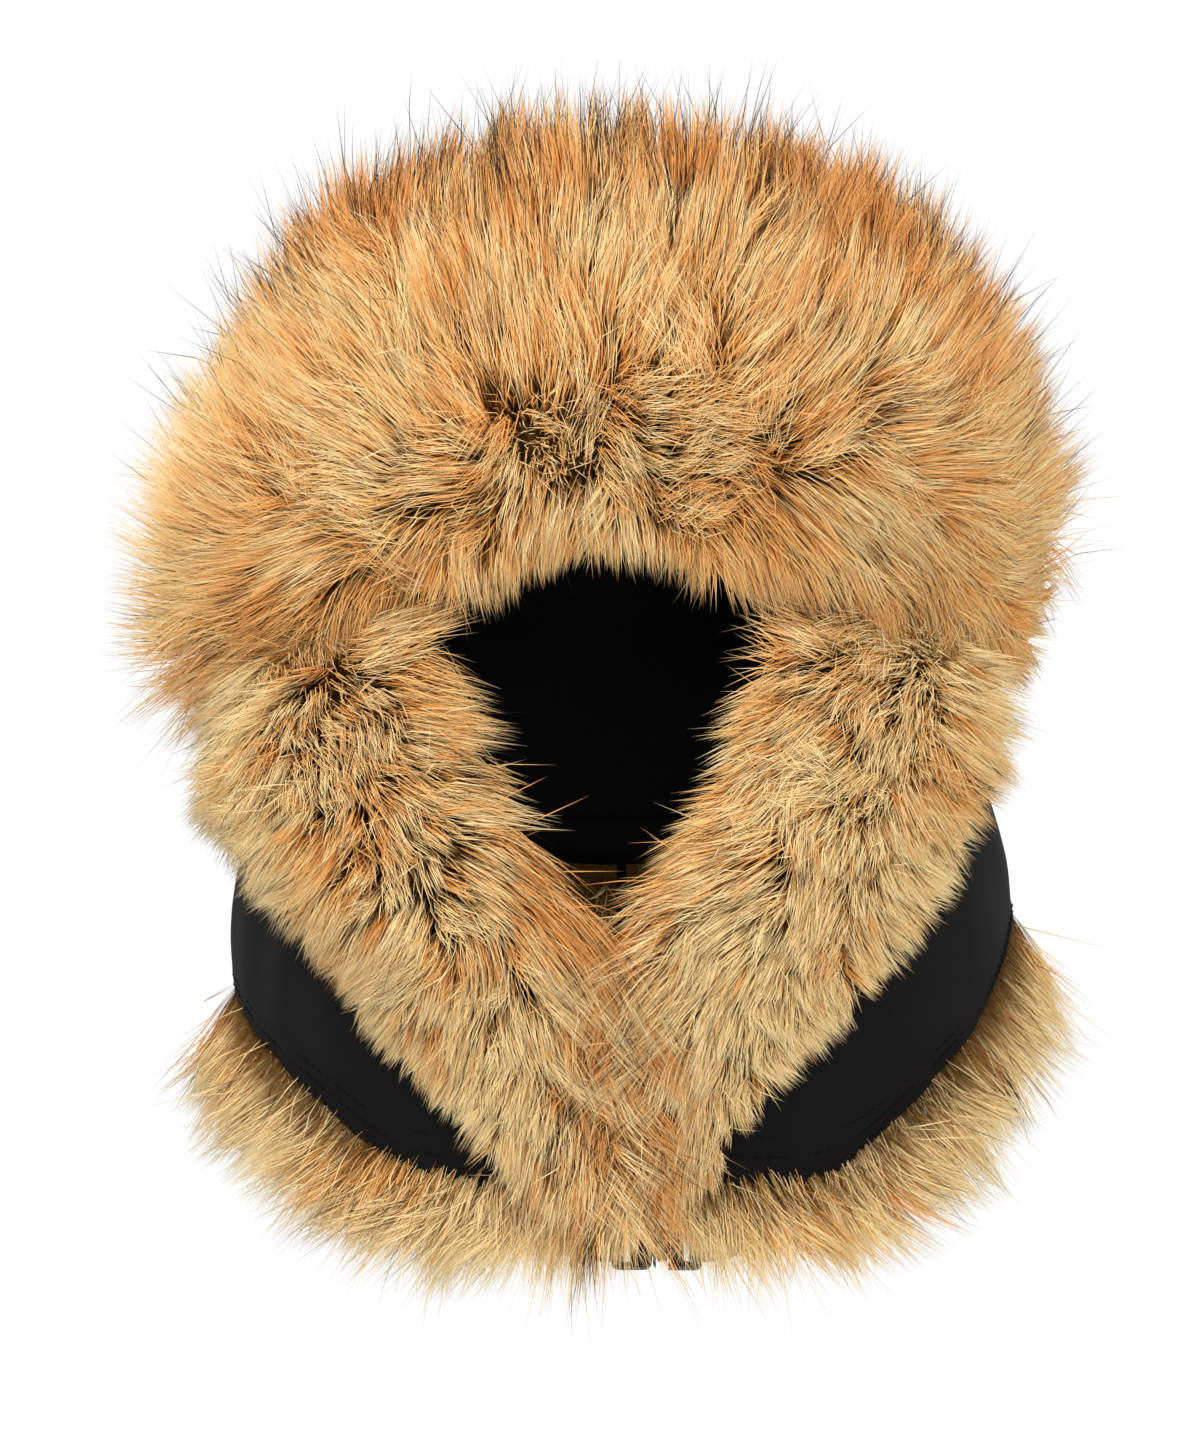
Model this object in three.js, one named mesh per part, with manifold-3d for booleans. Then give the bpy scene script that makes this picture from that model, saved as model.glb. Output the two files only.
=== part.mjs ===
// A winter aviator hat with its ear flaps drawn together under the chin.
// Millimetres, +Z up, the face looks along -Y. The origin is the centre of the head opening
// at the height of the brow rim. Left and right are the wearer's: left is +X.
import * as THREE from "three";
import { mergeVertices } from "three/addons/utils/BufferGeometryUtils.js";
import Module from "manifold-3d";

const wasm = await Module();
wasm.setup();

// The head opening and the cloth
const HEAD_HALF_WIDTH = 81;
const HEAD_HALF_LENGTH = 102;
const LINING_WALL = 1.2;
const SHELL_WALL = 2.5;
const GAP = 0.3;
const RIM_GAP = 0.45;
const FUR_GAP = 0.4;
const FUR_TOLERANCE = 0.6; // how far its facets may be simplified
const CROWN_HEIGHT = 108;
const CROWN_FULLNESS = 2.4; // 2 is an ellipsoid, more is a squarer dome
const RIM_DROP = 60; // the rim is this much lower at the nape than at the brow
const DOME_SHARE = 5 / 7; // of the crown's rows of facets, those above the brow's height

// The turned-up brow flap
const BROW_WALL = 2.5;
const BROW_HEIGHT = 76;
const BROW_HALF_SPREAD = 80; // degrees round from the front
const BROW_STAND_OFF = 1.7;
const BROW_LEAN = 7; // how far its top stands in from its foot
const BROW_PILE = 36;
const BROW_RISE = 24; // how far the fur stands above the flap's top
const BROW_HANG = 8; // and how far it hangs below the flap's foot
const FUR_PARTING_Z = -34; // the brow's fur ends here and the cheeks' begins

// Fur on the flaps
const CHEEK_PILE = 17;
const CHEEK_TOP_Z = -36;
const LINING_PILE = 13;

// The chin strap and its side-release buckle
const WEB = { width: 15, thick: 1.2 };
const BUCKLE = { x: 9, y: -83, z: -219, height: 20, thick: 6.4 };
const SOCKET_LENGTH = 15.5;
const PLUG_LENGTH = 12.5;
const BAR = { width: 2.2, thick: 2.6 };
const SLOT = 3.6;
const NOTCH_FROM = 5; // the side notches begin this far from the buckle's middle line

// Outer skin of the hat below the rim: half width, and reach to the front and the back
const SKIN = [
  { z: 0, halfWidth: 85, front: 106, back: 106 },
  { z: -30, halfWidth: 99, front: 112, back: 108 },
  { z: -60, halfWidth: 112, front: 117, back: 110 },
  { z: -95, halfWidth: 121, front: 118, back: 112 },
  { z: -130, halfWidth: 120, front: 114, back: 112 },
  { z: -165, halfWidth: 112, front: 107, back: 109 },
  { z: -210, halfWidth: 95, front: 97, back: 104 },
];

// Front edges of the flaps, and the outer edge of the fur on them, in degrees from the front
const FRONT = [
  { z: -5, rightEdge: 53, leftEdge: 49, rightFur: 84, leftFur: 76 },
  { z: -60, rightEdge: 33, leftEdge: 26, rightFur: 77, leftFur: 62 },
  { z: -84, rightEdge: 25, leftEdge: 19, rightFur: 63, leftFur: 50 },
  { z: -105, rightEdge: 18, leftEdge: 13, rightFur: 52, leftFur: 45 },
  { z: -130, rightEdge: 6, leftEdge: 5, rightFur: 41, leftFur: 37 },
  { z: -155, rightEdge: 1, leftEdge: 1, rightFur: 35, leftFur: 28 },
  { z: -180, rightEdge: 1, leftEdge: 1, rightFur: 24, leftFur: 18 },
  { z: -210, rightEdge: 1, leftEdge: 1, rightFur: 14, leftFur: 13 },
];

// Height of the hem round each flap
const HEM = [
  { angle: 0, right: -196, left: -196 },
  { angle: 14, right: -206, left: -205 },
  { angle: 40, right: -199, left: -199 },
  { angle: 58, right: -173, left: -168 },
  { angle: 73, right: -150, left: -137 },
  { angle: 88, right: -130, left: -106 },
  { angle: 125, right: -118, left: -104 },
  { angle: 180, right: -116, left: -116 },
];

// How the brow's fur fans from the foot of the flap to its top: angle above level, and length
const BROW_FAN = [
  { up: 0, angle: -78, length: 36 },
  { up: 0.26, angle: -4, length: 32 },
  { up: 0.55, angle: 42, length: 40 },
  { up: 1, angle: 82, length: 42 },
];

// How the cheeks' fur fans from the front edge to the outer edge: angle from the surface's
// normal towards the back, and length
const CHEEK_FAN = [
  { across: 0, angle: -76, length: 38 },
  { across: 0.5, angle: -10, length: 30 },
  { across: 1, angle: 70, length: 24 },
];

const BLACK = new THREE.MeshStandardMaterial({ color: 0x17151a, roughness: 0.85 });
const LINING = new THREE.MeshStandardMaterial({ color: 0x0a0a0a, roughness: 0.9 });
const FUR = new THREE.MeshStandardMaterial({ color: 0xc49760, roughness: 0.8 });
const WEBBING = new THREE.MeshStandardMaterial({ color: 0x1c1719, roughness: 0.75 });
const PLASTIC = new THREE.MeshStandardMaterial({ color: 0x120d0f, roughness: 0.4 });

const radians = THREE.MathUtils.degToRad;
const lerp = THREE.MathUtils.lerp;

// A smooth curve through one column of a table, read at x along another column.
function read(table, along, column, x) {
  const descending = table[0][along] > table.at(-1)[along];
  const rows = descending ? [...table].reverse() : table;
  const at = THREE.MathUtils.clamp(x, rows[0][along], rows.at(-1)[along]);
  const i = Math.max(1, rows.findIndex((row) => row[along] >= at));
  const slope = (k) => {
    const [a, b] = [rows[Math.max(0, k - 1)], rows[Math.min(rows.length - 1, k + 1)]];
    return (b[column] - a[column]) / (b[along] - a[along]);
  };
  const [a, b] = [rows[i - 1], rows[i]];
  const step = b[along] - a[along];
  const t = (at - a[along]) / step;
  const rise = t * t * (3 - 2 * t);
  const bulgeA = t * (1 - t) * (1 - t) * step * slope(i - 1);
  const bulgeB = t * t * (t - 1) * step * slope(i);
  return lerp(a[column], b[column], rise) + bulgeA + bulgeB;
}

const rimZ = (angle) => -RIM_DROP * (1 - Math.cos(radians(angle))) * 0.5;
const sideName = (side) => (side > 0 ? "left" : "right");

// A point on the skin below the rim, offset outwards. side is +1 for left and -1 for right.
function skinPoint(side, angle, z, offset = 0) {
  const a = radians(angle);
  const reach = angle < 90 ? "front" : "back";
  const x = side * (read(SKIN, "z", "halfWidth", z) + offset) * Math.sin(a);
  const y = -(read(SKIN, "z", reach, z) + offset) * Math.cos(a);
  return new THREE.Vector3(x, y, z);
}

// Outward, backward and upward directions on the skin at a point.
function directions(side, angle) {
  const a = radians(angle);
  const out = new THREE.Vector3(side * Math.sin(a), -Math.cos(a), 0);
  const back = new THREE.Vector3(side * Math.cos(a), Math.sin(a), 0);
  return { out, back, up: new THREE.Vector3(0, 0, 1) };
}

// A closed wall from at(u, v, depth): u and v run from 0 to 1, depth is 0 inside and 1 outside.
function wall(columns, rows, at, { round = false } = {}) {
  const positions = [];
  const index = [];
  const stride = columns + 1;
  const sheet = stride * (rows + 1);
  for (const depth of [0, 1])
    for (let j = 0; j <= rows; j++)
      for (let i = 0; i <= columns; i++)
        positions.push(...at(round && i === columns ? 0 : i / columns, j / rows, depth));
  const quad = (a, b, c, d) => index.push(a, b, c, a, c, d);
  for (let j = 0; j < rows; j++)
    for (let i = 0; i < columns; i++) {
      const k = j * stride + i;
      quad(k, k + stride, k + stride + 1, k + 1);
      quad(sheet + k, sheet + k + 1, sheet + k + stride + 1, sheet + k + stride);
    }
  for (let i = 0; i < columns; i++)
    for (const [row, flip] of [[0, false], [rows, true]]) {
      const k = row * stride + i;
      const ring = [k, k + 1, sheet + k + 1, sheet + k];
      quad(...(flip ? ring.reverse() : ring));
    }
  if (!round)
    for (let j = 0; j < rows; j++)
      for (const [column, flip] of [[0, true], [columns, false]]) {
        const k = j * stride + column;
        const ring = [k, k + stride, sheet + k + stride, sheet + k];
        quad(...(flip ? ring.reverse() : ring));
      }
  return outward(positions, index);
}

// Merges equal vertices, drops collapsed triangles and turns the faces outwards.
function outward(positions, index) {
  const raw = new THREE.BufferGeometry();
  raw.setAttribute("position", new THREE.Float32BufferAttribute(positions, 3));
  raw.setIndex(index);
  const merged = mergeVertices(raw, 1e-3);
  const p = merged.attributes.position;
  const kept = [];
  const [a, b, c] = [0, 1, 2].map(() => new THREE.Vector3());
  let volume = 0;
  for (let i = 0; i < merged.index.count; i += 3) {
    const t = [0, 1, 2].map((k) => merged.index.getX(i + k));
    if (new Set(t).size < 3) continue;
    kept.push(...t);
    [a, b, c].forEach((v, k) => v.fromBufferAttribute(p, t[k]));
    volume += a.dot(b.clone().cross(c));
  }
  if (volume < 0) kept.reverse();
  merged.setIndex(kept);
  return merged;
}

function solid(geometry) {
  const bare = new THREE.BufferGeometry();
  bare.setAttribute("position", geometry.attributes.position.clone());
  if (geometry.index) bare.setIndex(geometry.index.clone());
  const merged = mergeVertices(bare, 1e-3);
  return new wasm.Manifold(
    new wasm.Mesh({
      numProp: 3,
      vertProperties: new Float32Array(merged.attributes.position.array),
      triVerts: new Uint32Array(merged.index.array),
    }),
  );
}

// The largest body of a solid, as a three.js geometry.
function geometryOf(manifold) {
  const bodies = manifold.decompose().sort((a, b) => b.volume() - a.volume());
  const mesh = bodies[0].getMesh();
  const geometry = new THREE.BufferGeometry();
  geometry.setAttribute("position", new THREE.BufferAttribute(mesh.vertProperties, 3));
  geometry.setIndex(new THREE.BufferAttribute(mesh.triVerts, 1));
  geometry.computeVertexNormals();
  return geometry;
}

const box = (length, depth, height, x = 0, y = 0, z = 0) =>
  solid(new THREE.BoxGeometry(length, depth, height).translate(x, y, z));

// A lock of fur: a bent, flattened spike with a three-sided section, and its tip at the far end.
function lock({ root, along, bend, length, width, thick }) {
  const SIDES = 3;
  const across = new THREE.Vector3().crossVectors(along, bend).normalize();
  if (across.lengthSq() < 0.5) across.set(1, 0, 0).cross(along).normalize();
  const through = new THREE.Vector3().crossVectors(along, across).normalize();
  const path = (t) =>
    root.clone().addScaledVector(along, length * t).addScaledVector(bend, length * 0.3 * t * t);
  const positions = [];
  for (const [t, size] of [[0, 1], [0.55, 0.85]])
    for (let i = 0; i < SIDES; i++) {
      const a = (2 * Math.PI * i) / SIDES;
      const p = path(t)
        .addScaledVector(across, 0.5 * width * size * Math.cos(a))
        .addScaledVector(through, 0.5 * thick * size * Math.sin(a));
      positions.push(...p);
    }
  positions.push(...path(1), ...path(0));
  const [tip, foot] = [2 * SIDES, 2 * SIDES + 1];
  const index = [];
  for (let i = 0; i < SIDES; i++) {
    const next = (i + 1) % SIDES;
    index.push(i, next, SIDES + next, i, SIDES + next, SIDES + i);
    index.push(SIDES + i, SIDES + next, tip, next, i, foot);
  }
  return solid(outward(positions, index));
}

// A fur body with its locks, less the parts that it must stand clear of.
function fur(body, locks, clear) {
  const whole = wasm.Manifold.union([solid(body), ...locks]);
  return geometryOf(whole.simplify(FUR_TOLERANCE).subtract(wasm.Manifold.union(clear)));
}

// The crown: a dome whose rim runs lower at the back, where it meets the skin of the flaps.
function dome(inset) {
  return (u, v) => {
    const angle = 360 * u;
    const top = CROWN_HEIGHT - inset;
    const above = Math.min(1, v / DOME_SHARE);
    const below = Math.max(0, (v - DOME_SHARE) / (1 - DOME_SHARE));
    const z = top * Math.cos((above * Math.PI) / 2) + rimZ(angle) * below;
    const spread = (1 - Math.max(0, z / top) ** CROWN_FULLNESS) ** (1 / CROWN_FULLNESS);
    const p = skinPoint(1, angle <= 180 ? angle : 360 - angle, Math.min(z, 0), -inset);
    return new THREE.Vector3(spread * (angle <= 180 ? p.x : -p.x), spread * p.y, z);
  };
}

function crownWall(outerInset, thickness) {
  const surfaces = [dome(outerInset + thickness), dome(outerInset)];
  return wall(32, 7, (u, v, depth) => surfaces[depth](u, v), { round: true });
}

// One ear flap: from its front edge round to the seam at the middle of the back.
function flapPoint(side, u, v, offset) {
  const frontZ = lerp(rimZ(50), HEM[1][sideName(side)], v);
  const edge = read(FRONT, "z", sideName(side) + "Edge", frontZ);
  const angle = lerp(edge, 180 - 0.1, u);
  const hem = read(HEM, "angle", sideName(side), angle);
  return skinPoint(side, angle, lerp(rimZ(angle) - RIM_GAP, hem, v), offset);
}

const flap = (side) =>
  wall(16, 7, (u, v, depth) => flapPoint(side, u, v, (depth - 1) * SHELL_WALL));

// The space that fur leaves for a flap: its own facets, a little thicker and longer.
const flapRoom = (side) =>
  solid(wall(18, 9, (u, v, depth) => {
    const along = THREE.MathUtils.clamp((18 * u - 1) / 16, -0.004, 1.003);
    const down = THREE.MathUtils.clamp((9 * v - 1) / 7, -0.008, 1.006);
    return flapPoint(side, along, down, depth ? FUR_GAP : -SHELL_WALL - FUR_GAP);
  }));

// The brow flap stands against the front of the crown. u runs round it, v from foot to top.
function browPoint(u, v, offset) {
  const angle = lerp(-BROW_HALF_SPREAD, BROW_HALF_SPREAD, u);
  const round = Math.sqrt(1 - Math.min(0.97, 0.96 * Math.abs(2 * u - 1)) ** 4);
  const foot = rimZ(angle) + 1;
  const z = foot + BROW_HEIGHT * round * v;
  const stand = BROW_STAND_OFF + offset - BROW_LEAN * (round * v) ** 2;
  const p = skinPoint(Math.sign(angle) || 1, Math.abs(angle), Math.min(z, 0), stand);
  return p.setZ(z);
}

const browFlap = () =>
  wall(18, 3, (u, v, depth) => browPoint(u, v, BROW_WALL * depth));

function browFur() {
  const side = (u) => Math.abs(2 * u - 1);
  const swell = (u, v) =>
    4 + BROW_PILE * (1 + 0.4 * side(u) ** 2) *
      Math.sin(Math.PI * lerp(0.1, 0.82, v)) ** 0.5 *
      Math.sin(Math.PI * lerp(0.06, 0.94, u)) ** 0.25;
  const body = wall(18, 4, (u, v, depth) => {
    if (depth === 0) return browPoint(u, lerp(0.02, 0.98, v), 1);
    const face = browPoint(u, lerp(0.02, 0.98, v), BROW_WALL + FUR_GAP + swell(u, v));
    return face.setZ(face.z + BROW_RISE * v ** 3 - BROW_HANG * (1 - v) ** 3);
  });
  const locks = [];
  const grow = (u, up, wobble) => {
    const angle = lerp(-BROW_HALF_SPREAD, BROW_HALF_SPREAD, u);
    const { out, back } = directions(1, angle);
    const fan = radians(read(BROW_FAN, "up", "angle", up) * (1 - 0.3 * side(u) ** 2));
    const sweep = Math.sign(angle) * 0.3 * side(u) ** 2;
    const along = out.clone().multiplyScalar(Math.cos(fan)).addScaledVector(back, sweep);
    along.z = Math.sin(fan) - 0.15 * side(u) ** 2;
    along.normalize();
    const bend = new THREE.Vector3(0, 0, Math.sign(fan) || 1);
    const vary = 1 + 0.07 * Math.sin(wobble) + 0.12 * side(u) ** 2;
    const root = browPoint(u, up, BROW_WALL + 19);
    const length = read(BROW_FAN, "up", "length", up) * vary;
    locks.push(lock({ root, along, bend, length, width: 31, thick: 18 }));
  };
  [0.05, 0.46, 0.94].forEach((up, row) => {
    const count = 14 - (row % 2);
    for (let i = 0; i < count; i++) grow(lerp(0.03, 0.97, i / (count - 1)), up, 7 * i + 3 * row);
  });
  for (const u of [0.02, 0.1, 0.9, 0.98]) grow(u, 0.24, 9 * u);
  const clear = [
    solid(wall(20, 5, (u, v, depth) =>
      browPoint((20 * u - 1) / 18, (5 * v - 1) / 3, depth ? BROW_WALL + FUR_GAP : -25))),
    box(400, 400, 100, 0, 0, FUR_PARTING_Z - 50 + GAP),
    flapRoom(1),
    flapRoom(-1),
  ];
  return fur(body, locks, clear);
}

// Fur on the outside of a flap, beside its front edge. u runs from the edge to the outer side.
function cheekPlace(side, u, v) {
  const name = sideName(side);
  const z = lerp(CHEEK_TOP_Z, HEM[1][name] + 4, v);
  const edge = read(FRONT, "z", name + "Edge", z) - 1;
  return { z, angle: lerp(edge, read(FRONT, "z", name + "Fur", z), u) };
}

function cheekFur(side, keepOut) {
  const body = wall(4, 8, (u, v, depth) => {
    const { z, angle } = cheekPlace(side, u, v);
    const swell = 3 + CHEEK_PILE * Math.sin(Math.PI * lerp(0.1, 0.9, u)) ** 0.6 *
      Math.sin(Math.PI * lerp(0.2, 0.9, v)) ** 0.4;
    return skinPoint(side, angle, z, depth ? FUR_GAP + swell : -1);
  });
  const locks = [];
  const ROWS = 7;
  for (let row = 0; row < ROWS; row++)
    for (const across of row % 2 ? [0.05, 0.5, 0.95] : [0.22, 0.78]) {
      const v = lerp(0.05, 0.97, row / (ROWS - 1));
      const { z, angle } = cheekPlace(side, across, v);
      const { out, back, up } = directions(side, angle);
      const fan = radians(read(CHEEK_FAN, "across", "angle", across));
      const along = out.clone().multiplyScalar(Math.cos(fan)).addScaledVector(back, Math.sin(fan));
      along.addScaledVector(up, -0.05 - 0.35 * across - 0.75 * v).normalize();
      const length = read(CHEEK_FAN, "across", "length", across) * (1 - 0.15 * v);
      const root = skinPoint(side, angle, z, 7);
      locks.push(lock({ root, along, bend: up.clone().negate(), length, width: 25, thick: 14 }));
    }
  const clear = [
    box(400, 400, 100, 0, 0, FUR_PARTING_Z + 50 - GAP),
    box(200, 400, 500, -side * (100 - GAP), 0, -100),
    ...keepOut,
  ];
  return fur(body, locks, clear);
}

// Fur inside a flap, from the front edge round to the back seam, and hanging below the hem.
function flapFur(side, keepOut) {
  const place = (u, v, offset) => {
    const p = flapPoint(side, lerp(0.01, 0.995, u), lerp(0.12, 1, v), 0);
    const angle = (Math.atan2(side * p.x, -p.y) * 180) / Math.PI;
    const below = 9 * v ** 8;
    return skinPoint(side, Math.max(angle, 1), p.z - below, offset);
  };
  const body = wall(12, 3, (u, v, depth) => {
    const swell = 4 + LINING_PILE * Math.sin(Math.PI * lerp(0.12, 0.85, v)) ** 0.6;
    return place(u, v, -SHELL_WALL + (depth ? 1 : -FUR_GAP - swell));
  });
  const locks = [];
  const add = (u, v, reach, fall, sweep, length) => {
    const root = place(u, v, -SHELL_WALL - 7);
    const angle = (Math.atan2(side * root.x, -root.y) * 180) / Math.PI;
    const { out, back, up } = directions(side, angle);
    const along = out.multiplyScalar(reach).addScaledVector(up, -fall);
    along.addScaledVector(back, sweep).normalize();
    locks.push(lock({ root, along, bend: up.clone().negate(), length, width: 29, thick: 15 }));
  };
  const FRINGE = 11;
  for (let i = 0; i < FRINGE; i++) {
    const u = lerp(0.03, 0.97, i / (FRINGE - 1));
    const slope = Math.sin(Math.PI * Math.min(1, u / 0.6)) ** 0.7;
    add(u, 0.97, 0.35 + 0.35 * slope, 0.9 - 0.3 * slope, 0.6 * slope, 37 + 2 * Math.sin(5 * i));
  }
  const INSIDE = 3;
  for (const [v, shift] of [[0.3, 0], [0.64, 0.5]])
    for (let i = 0; i < INSIDE; i++)
      add(lerp(0.04, 0.96, (i + shift) / INSIDE), v, -0.35, 0.9, i === 0 ? -0.3 : 0, 24);
  const clear = [
    flapRoom(side),
    box(200, 400, 500, -side * (100 - GAP), 0, -100),
    ...keepOut,
  ];
  return fur(body, locks, clear);
}

// One half of the chin strap, sewn inside the flap's tip and wrapped round its buckle bar.
function strapPath(side) {
  const reach = side > 0 ? SOCKET_LENGTH : PLUG_LENGTH;
  const barX = BUCKLE.x + side * (reach - BAR.width / 2);
  const wrap = Math.hypot(BAR.width, BAR.thick) / 2 + GAP + WEB.thick / 2;
  const inner = -SHELL_WALL - GAP - WEB.thick / 2 - 1.4;
  const points = [
    skinPoint(side, 33, -191, inner),
    skinPoint(side, 30, -194, inner - 0.8),
    skinPoint(side, 26, -199.5, inner - 3),
    new THREE.Vector3(barX + side * 10, BUCKLE.y + 2.6, BUCKLE.z + 1),
    new THREE.Vector3(barX + side * 6, BUCKLE.y - 1.1, BUCKLE.z + 0.3),
    new THREE.Vector3(barX + side * 3, BUCKLE.y - 2.1, BUCKLE.z),
  ];
  for (let k = 0; k <= 6; k++) {
    const a = (Math.PI * k) / 6;
    const x = barX - side * wrap * Math.sin(a);
    points.push(new THREE.Vector3(x, BUCKLE.y - wrap * Math.cos(a), BUCKLE.z));
  }
  points.push(new THREE.Vector3(barX + side * 6, BUCKLE.y + 1.1, BUCKLE.z));
  return points;
}

// The corners of a flat band's section. Its width lies upright, but follows the flap's lean at
// the sewn end.
function bandCorner(points, u, v, depth, width, thick) {
  const curve = new THREE.CatmullRomCurve3(points, false, "centripetal");
  const lean = points[0].clone().setZ(0).normalize().multiplyScalar(0.3);
  const along = curve.getTangent(u);
  const wide = new THREE.Vector3(0, 0, 1).addScaledVector(lean, Math.max(0, 1 - 3 * u));
  wide.addScaledVector(along, -along.dot(wide)).normalize();
  const through = new THREE.Vector3().crossVectors(along, wide).normalize();
  return curve
    .getPoint(u)
    .addScaledVector(wide, (v - 0.5) * width)
    .addScaledVector(through, (depth - 0.5) * thick);
}

const BAND_STEPS = 22;
const ROOM_STEPS = 22;
const strap = (side) =>
  wall(BAND_STEPS, 1, (u, v, depth) =>
    bandCorner(strapPath(side), u, v, depth, WEB.width, WEB.thick));

// A plate in the XZ plane with rounded corners, from its outline's half length and half height.
function plate(x0, x1, height, thick, radius) {
  const [h, r] = [height / 2, radius];
  const outline = new THREE.Shape();
  outline.moveTo(x0 + r, -h);
  outline.lineTo(x1 - r, -h);
  outline.absarc(x1 - r, -h + r, r, -Math.PI / 2, 0, false);
  outline.absarc(x1 - r, h - r, r, 0, Math.PI / 2, false);
  outline.lineTo(x0 + r, h);
  outline.absarc(x0 + r, h - r, r, Math.PI / 2, Math.PI, false);
  outline.absarc(x0 + r, -h + r, r, Math.PI, 1.5 * Math.PI, false);
  const made = new THREE.ExtrudeGeometry(outline, {
    depth: thick,
    bevelEnabled: false,
    curveSegments: 4,
  });
  made.translate(0, 0, -thick / 2).rotateX(Math.PI / 2);
  return solid(made);
}

// The slot that a strap passes through, and the thinning of the bar beside it.
function strapHole(end, side) {
  const height = WEB.width + 1.6;
  const slot = box(SLOT, 30, height, end - side * (BAR.width + SLOT / 2));
  const skim = (s) =>
    box(BAR.width + 2, 10, height, end - side * (BAR.width / 2 - 0.9), s * (5 + BAR.thick / 2));
  return wasm.Manifold.union([slot, skim(1), skim(-1)]);
}

// The half with the two side notches. Both halves meet at x = 0 of the buckle's own frame.
function buckleSocket() {
  const shell = plate(GAP, SOCKET_LENGTH, BUCKLE.height, BUCKLE.thick, 2.5);
  const cavity = box(12, 3.4, 13, 5);
  const notch = (s) => box(3.8, 30, 10, 3.1, 0, s * (5 + NOTCH_FROM));
  const cuts = [cavity, notch(1), notch(-1), strapHole(SOCKET_LENGTH, 1)];
  return geometryOf(shell.subtract(wasm.Manifold.union(cuts)));
}

// The half with the tongue and the two spring arms, whose ends show in the notches.
function bucklePlug() {
  const yoke = plate(-PLUG_LENGTH, 0, BUCKLE.height, BUCKLE.thick - 1, 2.5);
  const tongue = box(10, 2.6, 3.4, 4);
  const arm = (s) => box(5.6, 2.6, 2.6, 1.8, 0, s * 4.9).add(box(3, 2.6, 4, 3.1, 0, s * 5.6));
  const whole = wasm.Manifold.union([yoke, tongue, arm(1), arm(-1)]);
  return geometryOf(whole.subtract(strapHole(-PLUG_LENGTH, -1)));
}

// Everything that fur must stand clear of round the strap.
function strapRoom() {
  const room = box(
    SOCKET_LENGTH + PLUG_LENGTH + 3,
    BUCKLE.thick + 3,
    BUCKLE.height + 2,
    BUCKLE.x + (SOCKET_LENGTH - PLUG_LENGTH) / 2,
    BUCKLE.y,
    BUCKLE.z,
  );
  const pieces = [room];
  for (const side of [1, -1])
    for (let step = -1; step <= ROOM_STEPS; step++) {
      const corners = [step, step + 1].flatMap((at) =>
        [0, 1, 2, 3].map((k) => {
          const on = THREE.MathUtils.clamp(at, 0, ROOM_STEPS);
          const section = [on / ROOM_STEPS, k & 1, k >> 1];
          const p = bandCorner(strapPath(side), ...section, WEB.width + 1, WEB.thick + 0.9);
          return p.setX(p.x + side * Math.abs(at - on));
        }));
      pieces.push(wasm.Manifold.hull(corners.map((p) => p.toArray())));
    }
  return pieces;
}

function named(name, geometry, material) {
  const mesh = new THREE.Mesh(geometry, material);
  mesh.name = name;
  return mesh;
}

const hat = new THREE.Group();
const crown = new THREE.Group();
const outer = SKIN[0].halfWidth - HEAD_HALF_WIDTH - LINING_WALL - GAP;
crown.add(named("crown_shell", crownWall(0, outer), BLACK));
crown.add(named("crown_lining", crownWall(outer + GAP, LINING_WALL), LINING));
crown.add(named("brow_flap", browFlap(), BLACK));
crown.add(named("brow_fur", browFur(), FUR));
hat.add(crown);

const room = strapRoom();
for (const side of [1, -1]) {
  const ear = new THREE.Group();
  ear.add(named("ear_flap_" + sideName(side), flap(side), BLACK));
  ear.add(named("cheek_fur_" + sideName(side), cheekFur(side, [flapRoom(side), ...room]), FUR));
  ear.add(named("lining_fur_" + sideName(side), flapFur(side, room), FUR));
  ear.add(named("chin_strap_" + sideName(side), strap(side), WEBBING));
  hat.add(ear);
}

const buckle = new THREE.Group();
buckle.position.set(BUCKLE.x, BUCKLE.y, BUCKLE.z);
buckle.add(named("buckle_socket", buckleSocket(), PLASTIC));
buckle.add(named("buckle_plug", bucklePlug(), PLASTIC));
hat.add(buckle);

export default hat;
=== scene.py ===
"""Dresses the aviator hat: black cloth, lining, deep fur, webbing and buckle, and its stage.

The tables and curves are the ones that the hat's solids are made from, in millimetres, so
each piece lies where its solid does. Left and right are the wearer's, and left is +X.
"""

import math
from functools import partial

import bpy
import numpy as np
from bpy.props import FloatProperty, FloatVectorProperty, IntProperty, PointerProperty
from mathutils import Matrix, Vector
from mathutils.kdtree import KDTree


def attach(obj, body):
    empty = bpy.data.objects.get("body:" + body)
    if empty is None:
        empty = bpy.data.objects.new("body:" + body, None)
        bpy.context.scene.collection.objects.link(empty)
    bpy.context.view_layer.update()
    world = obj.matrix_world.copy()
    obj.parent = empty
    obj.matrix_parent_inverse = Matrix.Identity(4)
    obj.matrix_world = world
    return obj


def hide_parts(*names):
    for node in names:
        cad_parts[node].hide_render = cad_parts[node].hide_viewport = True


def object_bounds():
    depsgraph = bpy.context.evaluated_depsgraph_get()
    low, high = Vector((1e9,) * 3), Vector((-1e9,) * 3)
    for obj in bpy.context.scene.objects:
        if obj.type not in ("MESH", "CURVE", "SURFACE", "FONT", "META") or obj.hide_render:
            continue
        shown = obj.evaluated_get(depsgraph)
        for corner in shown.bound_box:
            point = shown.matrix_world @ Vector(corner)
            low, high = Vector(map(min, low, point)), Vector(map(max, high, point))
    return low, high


bl_info = {
    "name": "Aviator hat",
    "version": (1, 0, 0),
    "blender": (4, 5, 0),
    "location": "3D View > Sidebar > Hat",
    "description": "Builds the cloth, fur and buckle of a winter aviator hat round its frame",
    "category": "Object",
}

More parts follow.
